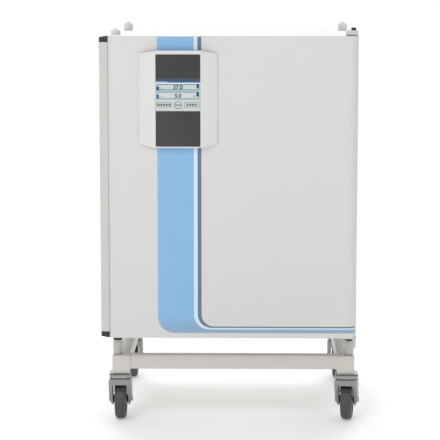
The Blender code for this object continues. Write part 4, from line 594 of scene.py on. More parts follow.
# Left and right column, upper and lower row, layer, colour and corner
TILES = {
    "screen_ground": (0.2, 43.8, 0.0, 33.9, 1, "pale grey", 0.0012),
    "screen_header_top": (0.2, 43.8, 0.0, 1.7, 2, "shaded header", 0.0008),
    "screen_header_middle": (0.2, 43.8, 1.6, 2.9, 2, "middle header", 0.0004),
    "screen_header": (0.2, 43.8, 2.8, 4.5, 2, "header blue", 0.0004),
    "screen_header_left": (0.3, 11.6, 3.3, 4.4, 3, "header haze", 0.0006),
    "screen_header_line": (0.2, 43.8, 4.5, 5.7, 2, "line", 0.0004),
    "surround_one": (0.3, 43.7, 5.7, 13.7, 2, "surround", 0.0010),
    "surround_two": (0.3, 43.7, 13.7, 22.0, 2, "surround", 0.0010),
    "frame_one": (1.6, 42.8, 5.9, 12.3, 3, "field frame", 0.0016),
    "field_one": (2.2, 42.2, 6.6, 11.6, 4, "first field", 0.0010),
    "tab_one_left": (0.8, 3.6, 8.5, 12.6, 5, "teal", 0.0010),
    "tab_one_right": (40.2, 42.8, 5.7, 10.3, 5, "dark blue", 0.0010),
    "mark_one": (4.9, 7.3, 10.5, 11.0, 5, "key rim", 0.0003),
    "frame_two": (1.6, 42.6, 13.9, 21.5, 3, "field frame", 0.0016),
    "field_two": (2.2, 42.0, 14.6, 20.8, 4, "second field", 0.0010),
    "tab_two_left": (1.0, 3.4, 16.8, 20.9, 5, "royal blue", 0.0010),
    "tab_two_right": (40.1, 42.6, 14.6, 18.8, 5, "dark blue", 0.0010),
    "mark_two": (4.9, 7.0, 18.8, 19.3, 5, "key rim", 0.0003),
    "mark_two_right": (37.2, 38.8, 17.8, 19.2, 5, "key rim", 0.0003),
}
KEY_ROWS = (25.0, 29.9)
KEY_RIM = 0.5
DASH_ROWS = (26.5, 28.5)
DASH = 1.8
# Each key's first and last column, and the column at which each of its dashes starts
KEYS = {
    "left": (0.9, 15.6, (2.2, 4.9, 7.6, 10.3, 12.8)),
    "right": (28.2, 42.9, (30.6, 33.2, 35.8, 38.4)),
}
# Each reading's digits, the column of their middle, the row of their foot and their height
READINGS = {
    "reading_one": ("37.0", 22.0, 11.2, 0.0118),
    "reading_two": ("5.0", 22.1, 19.9, 0.0112),
}


def lit(name, colour):
    """A backlit field: a smooth matt film that shines a little, its shade and gloss mottled in small patches.
    """
    fine = {"grain_size": 0.0006, "relief": 0.0, "mottle": 0.03, "patch": 0.03}
    material = coating(name, colour, 0.45, share=1 - SCREEN_GLOW, **fine)
    glow = {"Emission Color": linear(colour), "Emission Strength": SCREEN_GLOW}
    feed(material.node_tree, material.node_tree.nodes["Principled BSDF"], glow)
    return material


def tile(name, left, right, top, bottom, layer, colour, corner):
    """A thin plate on the display, from the screen's columns and rows."""
    sides = (glass_low[0] + left * TILE_X, glass_low[0] + right * TILE_X)
    outline = rectangles(*sides, SCREEN_TOP - bottom * TILE_Z, SCREEN_TOP - top * TILE_Z, corner, 4)
    plate = bar(name, outline, glass_face - layer * LAYER, tile_back, "y", TILE_EDGE, 2)
    return dressed(plate, screen[colour], "door", "display_glass")


def upright(name, curve, x, y, z, facing):
    """The mesh of a flat curve, stood up in its place and turned to the front, -1, or the back, 1."""
    drawn = placed(name + "_outline", curve)
    bpy.context.view_layer.update()
    mesh = bpy.data.meshes.new_from_object(drawn.evaluated_get(bpy.context.evaluated_depsgraph_get()))
    bpy.data.objects.remove(drawn, do_unlink=True)
    mesh.transform(Matrix(((1, 0, 0, x), (0, 0, facing, y), (0, 1, 0, z), (0, 0, 0, 1))))
    return mesh


def numerals(name, text, column, row, height):
    """Plain digits as a thin raised mesh."""
    curve = bpy.data.curves.new(name, "FONT")
    curve.body = text
    curve.align_x = "CENTER"
    curve.extrude = LAYER / 2
    curve.offset = DIGIT_STROKE
    curve.size = height / DIGIT_SHARE
    x, z = glass_low[0] + column * TILE_X, SCREEN_TOP - row * TILE_Z
    mesh = upright(name, curve, x, glass_face - DIGIT_LAYER * LAYER, z, -1)
    return dressed(placed(name, mesh), screen["ink"], "door", "display_glass")


def unit_circle(steps):
    """Points at even steps round a circle of radius 1."""
    turn = np.linspace(0, 2 * math.pi, steps + 1)[:-1]
    return np.stack([np.cos(turn), np.sin(turn)], -1)


def turned(name, profile, centre, axis, steps=48, sharp_deg=SHARP_DEG, closed=False):
    """A turned piece: each (radius, height) point of the profile goes round the axis in even steps."""
    points = np.array(profile, float)
    if closed:
        points = np.concatenate([points, points[:1]])
    flat = points[:, :1, None] * unit_circle(steps)
    return skin(name, stood(flat, points[:, 1], axis) + np.array(centre), sharp_deg=sharp_deg)


glass_outline = rectangles(glass_low[0], glass_high[0], glass_low[2], glass_high[2], DISPLAY_CORNER, 8)
display = bar("display_front", glass_outline, glass_face, glass_high[1], "y", GLASS_EDGE)
dark_glass = coating("dark display glass", (46, 47, 48), 0.20, relief=0.0, mottle=0.02)
dressed(display, dark_glass, "door", "display_glass", ["display_glass"])
screen = {name: lit("screen " + name, colour) for name, colour in SCREEN_COLOURS.items()}
for name, row in TILES.items():
    tile(name, *row)
key_top, key_foot = KEY_ROWS
for key, (start, end, dashes) in KEYS.items():
    tile(f"key_{key}_rim", start, end, key_top, key_foot, 2, "key rim", 0.0036)
    field = (start + KEY_RIM, end - KEY_RIM, key_top + KEY_RIM, key_foot - KEY_RIM)
    tile(f"key_{key}_field", *field, 3, "pale grey", 0.0026)
    for number, dash in enumerate(dashes):
        tile(f"key_{key}_dash_{number}", dash, dash + DASH, *DASH_ROWS, 4, "slate", 0.0005)
for name, reading in READINGS.items():
    numerals(name, *reading)
inner, front = DIAL_RADIUS - DIAL_WIDTH, glass_face - 2 * LAYER
dial = [(inner, front), (DIAL_RADIUS, front), (DIAL_RADIUS, tile_back), (inner, tile_back)]
dial_centre = (glass_low[0] + DIAL[0] * TILE_X, 0.0, SCREEN_TOP - DIAL[1] * TILE_Z)
dial = turned("key_middle_ring", dial, dial_centre, "y", closed=True)
dressed(dial, screen["slate"], "door", "display_glass")
tile("key_middle_bar", 19.4, 24.8, 27.1, 28.2, 3, "slate", 0.0004)


# The door's hinges: a folded steel bracket over the door's top with a capped pin through it, and one
# under the door whose pin is fixed, with a small skirt beside it. Both are painted light grey.
HINGE_EDGE = 0.0009
HINGE_LEAF = 0.0030
HINGE_BLOCK = 0.044
HINGE_AIR = 0.0025
CAP_RADIUS = 0.0075
CAP_HEIGHT = 0.008
PIN_RADIUS = 0.004
SEAT_AIR = 0.0003
PLATE_IN = 0.0016
NODE_WELD = 1e-6
NODE_FLAT_DEG = 0.5
EASED_DEG = 35


def softened_profile(points, radii, steps=5):
    """An open profile whose inner corners are drawn as arcs, found as in filleted, with its ends kept."""
    rounded = filleted(points, [1e-6, *radii, 1e-6], steps).reshape(-1, steps, 2)
    return np.concatenate([[points[0]], rounded[1:-1].reshape(-1, 2), [points[-1]]])


def oblong(low, high):
    """The corners of a flat rectangle, round from its low one."""
    return np.array([low, (high[0], low[1]), high, (low[0], high[1])])


def footed(low, high):
    """Where the vertical line through a box's middle meets the ground."""
    return np.array([(low[0] + high[0]) / 2, (low[1] + high[1]) / 2, 0.0])


def tidied(name, node, material, body, slot, edge=0.0, segments=2, sharp_deg=EASED_DEG):
    """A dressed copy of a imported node's mesh with its loose triangles joined and its edges rounded.

    Normals are weighted by the faces' areas, so that flat faces stay flat beside small roundings.
    """
    mesh = frame["nodes"][node].data.copy()
    piece = finished(name, mesh, sharp_deg, NODE_WELD, NODE_FLAT_DEG if edge else 0)
    if edge:
        edges = piece.modifiers.new("eased edges", "BEVEL")
        edges.width = edge
        edges.segments = segments
        edges.limit_method = "ANGLE"
        edges.angle_limit = math.radians(EASED_DEG)
    flat_faces = piece.modifiers.new("flat faces", "WEIGHTED_NORMAL")
    flat_faces.keep_sharp = not edge
    return dressed(piece, material, body, slot, [node])


hinge_paint = coating("hinge paint", (204, 203, 201), 0.40, relief=0.000020, mottle=0.010)
low, high = extent("hinge_upper")
casing_low, casing_high = extent("cabinet_casing")
block_back = low[1] + HINGE_BLOCK
under = door_high[2] + HINGE_AIR
leaf_top = under + HINGE_LEAF
seat_y = casing_low[1] + SEAT_AIR
arm = [(low[1], under), (seat_y, under), (seat_y, low[2]), (high[1], low[2])]
arm += [(high[1], leaf_top), (block_back, leaf_top), (block_back, high[2]), (low[1], high[2])]
arm = filleted(arm, [0.0020, 0.0010, 0.0010, 0.0010, 0.0010, 0.0012, 0.0020, 0.0020])
hinge_top = bar("hinge_top", arm, low[0], high[0], "x", HINGE_EDGE)
dressed(hinge_top, hinge_paint, "cabinet", "white_paint", ["hinge_upper"])
# The dark grey plate in the gap between the bracket and the door's top is painted shade. It stands in for the
# shadow in that gap.
gap_shade_grey = coating("hinge gap shade", (96, 96, 97), 0.50, relief=0.000015, mottle=0.02)
plate = oblong((low[0] + PLATE_IN, low[1] + 0.0008), (high[0] - PLATE_IN, block_back - 0.0020))
plate = filleted(plate, 0.0020)
gap_shade_plate = bar("hinge_gap_shade", plate, door_high[2] + 0.0004, under + 0.0002, "z", 0.0003)
dressed(gap_shade_plate, gap_shade_grey, "cabinet", "black_plastic")

low, high = extent("hinge_pin_upper")
cap_seat = high[2] - CAP_HEIGHT
pin_profile = [(0, high[2]), (CAP_RADIUS, high[2]), (CAP_RADIUS, cap_seat)]
pin_profile += [(PIN_RADIUS, cap_seat), (PIN_RADIUS, low[2]), (0, low[2])]
pin_profile = softened_profile(pin_profile, [0.0022, 0.0005, 0.0003, 0.0006])
pin_cap = turned("hinge_pin_cap", pin_profile, footed(low, high), "z")
dressed(pin_cap, cap_black, "cabinet", "black_plastic", ["hinge_pin_upper"])
tidied("hinge_foot", "hinge_lower", hinge_paint, "cabinet", "white_paint", 0.0007)


# Behind the door's skin: the pressed inner liner of brushed stainless steel, and the grey magnetic seal
# pushed into its groove, which meets the cabinet's face.
SEAL_WIDTH = 0.014
SEAL_RIB = 0.0015
SEAL_CORNER = 0.012


def brushed(name, colour, roughness, along):
    """Brushed steel: noise drawn out to long scratches along one axis, in relief and in gloss."""
    grain = [0.02 if axis == along else 1.0 for axis in "xyz"]
    fine = {"grain_size": 0.0010, "relief": 0.000012, "mottle": 0.05, "patch": 0.004}
    return coating(name, colour, roughness, 1.0, grain, **fine)


def hoops(low, high, inset, depth, corner):
    """Rounded rectangles, in from a box's four sides by each inset, at each depth."""
    sides = (low[0] + inset, high[0] - inset, low[2] + inset, high[2] - inset)
    return stood(rectangles(*sides, corner, 8), depth, "y")


liner_steel = brushed("liner steel", (190, 191, 190), 0.34, "z")
tidied("door_inner_skin", "door_liner", liner_steel, "door", "stainless")
seal_rubber = coating("seal rubber", (92, 93, 95), 0.62, grain_size=0.0008, relief=0.000030, mottle=0.04)
low, high = extent("door_gasket")
# Half of the seal's section: how far in from its side, and how far back from its tip
half_seal = [(0.0, high[1] - low[1]), (0.0, 0.0040), (SEAL_RIB, 0.0022), (0.0022, 0.0006), (0.0042, 0.0)]
seal_in, seal_back = np.array(half_seal).T
seal_in = np.concatenate([seal_in, SEAL_WIDTH - seal_in[::-1], seal_in[:1]])
seal_back = np.concatenate([seal_back, seal_back[::-1], seal_back[:1]])
seal = hoops(low, high, seal_in, high[1] - seal_back, np.maximum(SEAL_CORNER - seal_in, 0.0015))
dressed(skin("door_seal", seal), seal_rubber, "door", "seal_rubber", ["door_gasket"])


# The cabinet's casing: one sheet of powder-coated steel wrapped round the top, sides and bottom, with the
# face frame folded in at its front, as a pocket for the glass door and a mouth for the chamber.
CASING_SHEET = 0.0015
CASING_CORNER = 0.006
CASING_RIM = 0.0012
CASING_STATION = 0.02
casing_white = coating("casing powder coat", (216, 215, 212), 0.46, relief=0.000022, mottle=0.008)
rim_in, rim_back = rounding(5, CASING_RIM)
casing_in = np.concatenate([rim_in[::-1], [0.0, 0.0], rim_in])
casing_y = [casing_low[1] + rim_back[::-1], [casing_low[1] + CASING_STATION]]
casing_y = np.concatenate([*casing_y, [casing_high[1] - CASING_STATION], casing_high[1] - rim_back])
casing = skin("casing_wrap", hoops(casing_low, casing_high, casing_in, casing_y, CASING_CORNER))
dressed(walled(casing, CASING_SHEET), casing_white, "cabinet", "white_paint", ["cabinet_casing"])
tidied("face_frame", "front_frame", casing_white, "cabinet", "white_paint")


# Stacking studs: four turned and painted pins with a long cone, screwed into the casing's top, so that a
# second cabinet's feet find their place on them.
CORNERS = ("front_left", "front_right", "rear_left", "rear_right")
STUD_CONE = 0.0095
STUD_TIP = 0.002
STUD_NECK = 0.0010
stud_paint = coating("stud paint", (226, 225, 223), 0.42, relief=0.000015, mottle=0.012)
for corner in CORNERS:
    low, high = extent(f"stacking_stud_{corner}")
    radius = (high[0] - low[0]) / 2
    neck = radius - STUD_NECK
    outline = [(0, high[2]), (STUD_TIP, high[2]), (radius, high[2] - STUD_CONE), (radius, low[2] + 0.002)]
    outline += [(neck, low[2] + 0.001), (neck, low[2]), (0, low[2])]
    outline = softened_profile(outline, [0.0020, 0.0018, 0.0004, 0.0003, 0.0002])
    stud = turned(f"stud_{corner}", outline, footed(low, high), "z", 56)
    dressed(stud, stud_paint, "cabinet", "grey_metal", [f"stacking_stud_{corner}"])


# Levelling feet: a zinc-grey turned foot on the stand's rail, a bright lock disc on its thread, and the
# black moulded boss in the cabinet's floor that the thread goes up into.
FOOT_RADIUS = 0.0147
FOOT_HEIGHT = 0.0405
DISC_RADIUS = 0.0152
DISC_BORE = 0.006
DISC_LEVELS = (0.001, 0.0036)
BOSS_RADIUS = 0.0140
BOSS_BORE = 0.008
BOSS_DROP = 0.0285
THREAD_PITCH = 0.00175
THREAD_RADIUS = 0.0078
THREAD_DEPTH = 0.0009
foot_metal = coating("foot metal", (196, 197, 194), 0.40, 0.2, grain=(1, 1, 9), relief=0.00002, mottle=0.02)
disc_metal = coating("lock disc metal", (240, 240, 238), 0.34, 0.2, relief=0.00001, mottle=0.02)
boss_black = coating("moulded boss", (58, 58, 60), 0.50, relief=0.00003, mottle=0.04)
for corner in CORNERS:
    low, high = extent(f"levelling_foot_{corner}")
    centre = footed(low, high)
    lock = low[2] + FOOT_HEIGHT
    body = softened_profile(oblong((0, low[2]), (FOOT_RADIUS, lock)), [0.0012, 0.0020])
    foot = turned(f"foot_{corner}", body, centre, "z", 56)
    dressed(foot, foot_metal, "cabinet", "grey_metal", [f"levelling_foot_{corner}"])
    disc = oblong((DISC_BORE, lock + DISC_LEVELS[0]), (DISC_RADIUS, lock + DISC_LEVELS[1]))
    disc = softened_profile(disc, [0.0008, 0.0008])
    disc = turned(f"foot_disc_{corner}", disc, centre, "z", 56, closed=True)
    dressed(disc, disc_metal, "cabinet", "grey_metal")
    boss = oblong((BOSS_BORE, high[2]), (BOSS_RADIUS, high[2] - BOSS_DROP))
    boss = softened_profile(boss, [0.0006, 0.0012])
    boss = turned(f"foot_boss_{corner}", boss, centre, "z", 56, closed=True)
    dressed(boss, boss_black, "cabinet", "black_plastic")
    rise = np.linspace(lock - 0.001, high[2] - 0.001, 97)
    wave = 0.5 + 0.5 * np.cos(2 * math.pi * (rise - lock) / THREAD_PITCH)
    ripple = THREAD_RADIUS - THREAD_DEPTH * wave
    thread = np.concatenate([[(0, rise[0])], np.stack([ripple, rise], -1), [(0, rise[-1])]])
    stem = turned(f"foot_stem_{corner}", thread, centre, "z", 40, sharp_deg=70)
    dressed(stem, foot_metal, "cabinet", "grey_metal")


# The stand: two folded side rails whose ends come down as posts on the casters, and two cross rails of
# square tube welded between them, all in a warm grey paint. The welds are ground but still show.
RAIL_CORNER = 0.0035
POST_WIDTH = 0.053
POST_FILLET = 0.008
FOOT_CORNER = 0.0026
RAIL_EDGE = 0.0024
WELDED_EDGE = 0.0006
WELD = 0.0010
WELD_RUN = 0.009
WELD_RIPPLE = 0.0045
WELD_SWELL = 0.10
WELD_RISE = 0.0004
rail_paint = coating("stand paint", (212, 209, 202), 0.44, relief=0.000022, mottle=0.012)
rail_bottom = extent("stand_rail_front")[0][2]
for hand in ("left", "right"):
    low, high = extent(f"stand_rail_{hand}")
    near, far = low[1] + POST_WIDTH, high[1] - POST_WIDTH
    outline = [(low[1], high[2]), (low[1], low[2]), (near, low[2]), (near, rail_bottom)]
    outline += [(far, rail_bottom), (far, low[2]), (high[1], low[2]), (high[1], high[2])]
    radii = [RAIL_CORNER, FOOT_CORNER, FOOT_CORNER, POST_FILLET]
    low_edge, high_edge = (RAIL_EDGE, WELDED_EDGE) if hand == "left" else (WELDED_EDGE, RAIL_EDGE)
    outline = filleted(outline, radii + radii[::-1])
    rail = bar(f"side_rail_{hand}", outline, low[0], high[0], "x", high_edge, 5, low_edge=low_edge)
    dressed(rail, rail_paint, "cabinet", "rail_paint", [f"stand_rail_{hand}"])


def weld_bead(name, x, low, high):
    """A bead round a tube's end: a circle carried round a rounded rectangle, its radius rippled."""
    path = stood(rectangles(low[1], high[1], low[2], high[2], RAIL_CORNER, 10), x, "x")
    steps = np.linalg.norm(np.roll(path, -1, 0) - path, axis=1)
    dense = 8
    share = np.linspace(0, 1, dense, endpoint=False)[:, None]
    path = (path[:, None] + (np.roll(path, -1, 0) - path)[:, None] * share).reshape(-1, 3)
    reach = np.cumsum(np.repeat(steps / dense, dense))
    out = path - path.mean(0)
    out[:, 0] = 0.0
    out /= np.linalg.norm(out, axis=1, keepdims=True)
    ripple = WELD * (1 + WELD_SWELL * np.sin(reach / WELD_RIPPLE * math.pi))
    around = unit_circle(12)
    circle = around[None, :, :1] * out[:, None] + around[None, :, 1:] * np.array([1.0, 0.0, 0.0])
    tube = path[:, None] + ripple[:, None, None] * circle
    bead = skin(name, np.concatenate([tube, tube[:1]]), sharp_deg=80)
    return dressed(bead, rail_paint, "cabinet", "rail_paint")


def ground_weld(name, x, side, tube_y, rail_y, low, high):
    """The fillet weld across the step between a tube's face and the side rail's, ground to a slope."""
    corners = [(x - side * 0.001, rail_y), (x + side * WELD_RUN, tube_y), (x - side * 0.001, tube_y)]
    wedge = bar(name, filleted(corners, [0.0005, 0.0005, 0.0004]), low, high, "z", 0.0002)
    return dressed(wedge, rail_paint, "cabinet", "rail_paint")


side_low, side_high = extent("stand_rail_left")
for place in ("front", "rear"):
    low, high = extent(f"stand_rail_{place}")
    tube_y, rail_y = (low[1], side_low[1]) if place == "front" else (high[1], side_high[1])
    tube_y += WELD_RISE * np.sign(tube_y - rail_y)
    rail_y += WELDED_EDGE * np.sign(tube_y - rail_y)
    ends = (low[2] + RAIL_CORNER / 2, high[2] - RAIL_CORNER / 2)
    joints = {"left": (low[0], 1), "right": (high[0], -1)}
    for hand, (x, side) in joints.items():
        ground_weld(f"ground_weld_{place}_{hand}", x, side, tube_y, rail_y, *ends)
    outline = filleted(oblong(low[1:], high[1:]), RAIL_CORNER)
    tube = bar(f"cross_rail_{place}", outline, low[0], high[0], "x", 0.0002)
    dressed(tube, rail_paint, "cabinet", "rail_paint", [f"stand_rail_{place}"])
    for hand, (x, side) in joints.items():
        weld_bead(f"weld_{place}_{hand}", x, low, high)


# The casters: a pressed head bolted under each post, a moulded fork that swivels below it, and a wheel
# with a dark tread on a lighter hub, turning on a bolt between two flared thread guards.
WHEEL_TRAIL = 0.024
TREAD = 0.013
TREAD_HALF = 0.0172
TREAD_SHOULDER = 0.0108
TREAD_EDGE = 0.0012
TREAD_CROWN = 0.0008
HUB = 0.017
HUB_BORE = 0.0064
WEB_HALF = 0.008
HEAD_CHAMFER = 0.0104
KINGPIN = 0.006
# The black sheet over each tread's top is painted shade. It stands in for the shadow that the fork's crown
# casts on the wheel.
SHADE_SHEET_DEG = (32, 118)
SHADE_SHEET_RADIUS = 0.0640
SHADE_SHEET_THICK = 0.0012
SHADE_SHEET_HALF = 0.0175
WHEEL_TURN_DEG = {"front_left": 0.0, "front_right": -8.0, "rear_left": 0.0, "rear_right": 0.0}
fork_plastic = coating("fork plastic", (152, 152, 150), 0.40, grain_size=0.0008, relief=0.000025, mottle=0.02)
head_plastic = coating("caster head", (160, 160, 158), 0.42, grain_size=0.0008, relief=0.000025, mottle=0.02)
tread_rubber = coating("tread rubber", (72, 72, 75), 0.60, grain_size=0.0010, relief=0.00003, mottle=0.04)
hub_plastic = coating("wheel hub", (120, 121, 122), 0.45, grain_size=0.0008, relief=0.00002, mottle=0.02)
guard_black = coating("thread guard", (30, 30, 32), 0.50, relief=0.00002, mottle=0.03)
bolt_zinc = coating("bolt zinc", (158, 158, 156), 0.36, 0.5, relief=0.00001, mottle=0.03)


def swung(piece, pivot, degrees):
    """Turn a finished mesh about a vertical line."""
    there = Matrix.Translation(pivot)
    piece.data.transform(there @ Matrix.Rotation(math.radians(degrees), 4, "Z") @ there.inverted())
    return piece


def eight_sided(low, high):
    """A box's rounded outline from above, with its four corners cut off."""
    corner = oblong(high[:2], low[:2])
    steps = [HEAD_CHAMFER * np.sign(np.roll(corner, turn, 0) - corner) for turn in (1, -1)]
    return filleted(np.stack([corner + step for step in steps], 1).reshape(-1, 2), 0.0030, 5)


def head_piece(name, low, high):
    """The eight-sided bearing housing: its outline drawn in at each height of its grooved profile."""
    seat, top = low[2] + KINGPIN, high[2]
    profile = [(0.0200, low[2]), (0.0200, seat), (0.0022, seat), (0.0022, seat + 0.0016)]
    profile += [(0.0006, seat + 0.0022), (0.0, seat + 0.0028), (0.0, top - 0.0052)]
    profile += [(0.0005, top - 0.0046), (0.0016, top - 0.0044), (0.0016, top - 0.0018)]
    profile += [(0.0006, top - 0.0016), (0.0006, top - 0.0006), (0.0012, top)]
    insets, heights = np.array(profile).T
    return skin(name, stood(drawn_in(eight_sided(low, high), insets), heights, "z"), ends=2)


def mirrored(profile):
    """Half a profile and its mirror image across the wheel's middle plane."""
    return profile + [(r, -h) for r, h in reversed(profile)]


def shade_sheet_piece(name, centre):
    """A black curved sheet of painted shade over the tread's top, standing in for the crown's shadow: a thin
    section carried along an arc about the wheel's axis.
    """
    angles = np.radians(np.linspace(*SHADE_SHEET_DEG, 25))[:, None]
    section = oblong((-SHADE_SHEET_HALF, SHADE_SHEET_RADIUS), (SHADE_SHEET_HALF, SHADE_SHEET_RADIUS + SHADE_SHEET_THICK))
    section = filleted(section, 0.0004, 4)
    across = np.broadcast_to(section[:, 0], (25, len(section)))
    points = np.stack([across, -section[:, 1] * np.cos(angles), section[:, 1] * np.sin(angles)], -1)
    return skin(name, points + centre, ends=2)


guard = [(0.0062, 0.0190), (0.0112, 0.0192), (0.0138, 0.0234), (0.0062, 0.0234)]
guard = softened_profile(guard, [0.0006, 0.0006])
bolt = [(0, 0.0378), (0.0078, 0.0374), (0.0098, 0.0357), (0.0058, 0.0357), (0.0058, 0.0), (0, 0.0)]
bolt = softened_profile(bolt, [0.0010, 0.0004, 0.0002, 0.0002])
for corner, degrees in WHEEL_TURN_DEG.items():
    low, high = extent(f"caster_head_{corner}")
    pivot = footed(low, high)
    if corner == "front_right":
        pivot[0] = footed(*extent("caster_head_rear_right"))[0]
        pivot[1] = footed(*extent("caster_head_front_left"))[1]
    head = head_piece(f"caster_top_{corner}", low, high)
    dressed(head, head_plastic, "cabinet", "caster_grey", [f"caster_head_{corner}"])
    outline = drawn_in(eight_sided(low, high), [0.0007])[0]
    seat = low[2] + KINGPIN
    # The two black bands in the head's grooves, the pad near its top and the seal at its foot, are painted
    # shade. They darken the seams under the post and over the fork.
    shade_bands = {"pad": (high[2] - 0.0043, high[2] - 0.0019), "seal": (seat, seat + 0.0018)}
    for kind, levels in shade_bands.items():
        shade_band = bar(f"caster_{kind}_{corner}", outline, *levels, "z", 0.0002)
        dressed(shade_band, guard_black, "cabinet", "black_plastic")
    caster, wheel = f"caster_{corner}", f"wheel_{corner}"
    tidied(f"caster_yoke_{corner}", f"caster_fork_{corner}", fork_plastic, caster, "caster_grey", 0.0012, 3)

    low, high = extent(f"caster_wheel_{corner}")
    radius, half = (high[2] - low[2]) / 2, TREAD_HALF
    rim = radius - TREAD
    centre = np.array([pivot[0], pivot[1] + WHEEL_TRAIL, (low[2] + high[2]) / 2])
    tread = [(rim, -half + TREAD_EDGE), (rim + TREAD_EDGE, -half), (radius - TREAD_CROWN, -half)]
    tread = mirrored(tread)
    tread.insert(3, (radius, 0.0))
    tread = filleted(tread, [0.0006, 0.0006, TREAD_SHOULDER, 0.02, TREAD_SHOULDER, 0.0006, 0.0006], 9)
    core = [(HUB_BORE, half), (HUB, half), (HUB + 0.0015, WEB_HALF), (rim - 0.006, WEB_HALF)]
    core += [(rim - 0.003, half - 0.002), (rim - 0.0002, half - 0.002)]
    core_radii = [0.0004, 0.0015, 0.002, 0.004, 0.0015, 0.0004]
    core = filleted(mirrored(core), core_radii + core_radii[::-1], 5)
    # The first piece is the black sheet of painted shade over the tread.
    pieces = [(shade_sheet_piece(f"caster_shade_sheet_{corner}", centre), guard_black, caster, "black_plastic")]
    for side, hand in ((-1, "left"), (1, "right")):
        cone = turned(f"thread_guard_{corner}_{hand}", guard * (1, side), centre, "x", closed=True)
        stem = turned(f"caster_bolt_{corner}_{hand}", bolt * (1, side), centre, "x")
        axle = [f"caster_axle_{corner}"] if side < 0 else ()
        pieces.append((cone, guard_black, caster, "black_plastic"))
        pieces.append((stem, bolt_zinc, caster, "caster_grey", axle))
    tyre = turned(f"tyre_{corner}", tread, centre, "x", 72, closed=True)
    pieces.append((tyre, tread_rubber, wheel, "tread_rubber", [f"caster_wheel_{corner}"]))
    hub = turned(f"wheel_core_{corner}", core, centre, "x", 60, closed=True)
    pieces.append((hub, hub_plastic, wheel, "caster_grey"))
    for piece, *dress in pieces:
        dressed(swung(piece, pivot, degrees), *dress)


# The inner door: clear glass in a grey anodised frame, hung on two pins in the pocket, and held shut by a
# black lever that turns behind the chamber's edge.
PANE_CORNER = 0.0077
grain = (1, 1, 0.05)
frame_grey = coating("inner door frame", (176, 178, 178), 0.36, 0.6, grain, relief=0.00001, mottle=0.02)
tidied("inner_door_frame", "glass_door_frame", frame_grey, "glass_door", "frame_plastic", 0.0006)
clear_glass = coating("clear glass", (238, 246, 243), 0.02, relief=0.0, mottle=0.003)
tree = clear_glass.node_tree
feed(tree, tree.nodes["Principled BSDF"], {"Transmission Weight": 1.0, "IOR": 1.47})
low, high = extent("glass_door_pane")
outline = rectangles(low[0], high[0], low[2], high[2], PANE_CORNER, 8)
pane = bar("inner_door_glass", outline, low[1], high[1], "y", 0.0006)
dressed(pane, clear_glass, "glass_door", "pane_glass", ["glass_door_pane"])
tidied("inner_door_lever", "glass_door_latch", cap_black, "glass_latch", "black_plastic", 0.0010, 3)


# The chamber: a deep-drawn stainless steel box with large corner radii and a shallow water sump in its
# floor, polished along its depth, in a jacket of moulded foam.
chamber_steel = brushed("chamber steel", (222, 223, 221), 0.34, "y")
foam = coating("moulded foam", (222, 212, 172), 0.88, grain_size=0.0040, relief=0.00040, mottle=0.05)
tidied("chamber_skin", "chamber", chamber_steel, "cabinet", "stainless", sharp_deg=40)
tidied("foam_jacket", "insulation", foam, "cabinet", "foam", sharp_deg=40)


# The shelf ladders hook onto the chamber's walls, and the slotted shelves of folded sheet rest on their
# ledges. All are stainless steel, brushed along the depth.
shelf_steel = brushed("shelf steel", (216, 217, 215), 0.34, "y")
for hand in ("left", "right"):
    tidied(f"ladder_{hand}", f"shelf_ladder_{hand}", shelf_steel, "cabinet", "stainless", 0.0004)
for level in ("lower", "middle", "upper"):
    tidied(f"tray_{level}", f"shelf_{level}", shelf_steel, "cabinet", "stainless", 0.0004)


# The fan at the chamber's back: a slotted steel cover over a bladed wheel, on the shaft of a black motor
# that sits behind the insulation.
fan_steel = brushed("fan steel", (192, 193, 192), 0.32, "z")
motor_black = coating("motor case", (44, 45, 47), 0.40, 0.1, relief=0.00003, mottle=0.04)
tidied("fan_hood", "fan_cover", fan_steel, "cabinet", "stainless")
tidied("fan_blades", "fan_wheel", fan_steel, "fan", "stainless", 0.0002)
tidied("motor_case", "fan_motor", motor_black, "cabinet", "black_plastic")


# The gas sensor's capped head and the silicone stopper that closes the access port from behind.
sensor_steel = brushed("sensor steel", (200, 201, 200), 0.26, "y")
silicone = coating("silicone", (214, 213, 208), 0.55, grain_size=0.0015, relief=0.00004, mottle=0.03)
silicone.node_tree.nodes["Principled BSDF"].inputs["Subsurface Weight"].default_value = 0.15
tidied("sensor_cap", "sensor_head", sensor_steel, "cabinet", "stainless")
tidied("port_plug", "port_stopper", silicone, "stopper", "silicone", 0.0008, 3)


# The rear cover: a pressed and powder-coated steel sheet with a raised service box, whose face has two
# banks of pressed louvres and the fittings' cut-outs. Pan-head screws hold it all round, and a sleeve
# carries the port through the insulation.
REAR_SHEET = 0.0015
REAR_PROUD = 0.040
REAR_LIP = 0.018
REAR_FOLD = 0.0025
REAR_CORNER = 0.0045
BOX_CORNER = 0.010
BOX_HALF = np.array([0.300, 0.370])
LOUVRE_WIDTH = 0.160
LOUVRE_GAP = 0.060
LOUVRE_SLOT = 0.006
LOUVRE_PITCH = 0.024
LOUVRE_ROWS = 5
LOUVRE_TOP = 1.060
HOOD_DEPTH = 0.0045
HOOD_SHEET = 0.0008
HOOD_LAP = 0.003
HOOD_RISE = 0.0040
HOOD_AIR = 0.0002
PORT_BORE = 0.021
PORT_WALL = 0.0025
GAS_HOLE = 0.0069
INLET_HOLE = np.array([0.0286, 0.0226])
SWITCH_HOLE = np.array([0.0141, 0.0221])
SCREW_PITCH = 0.17
rear_low, rear_high = extent("rear_cover")
rear_middle = ((rear_low + rear_high) / 2)[[0, 2]]
rear_face = rear_high[1]
rear_plate = rear_face - REAR_PROUD
fold_near, fold_far = rounding(6, REAR_FOLD)
near, far = fold_near[:, None], fold_far[:, None]
plate_half = ((rear_high - rear_low) / 2)[[0, 2]]
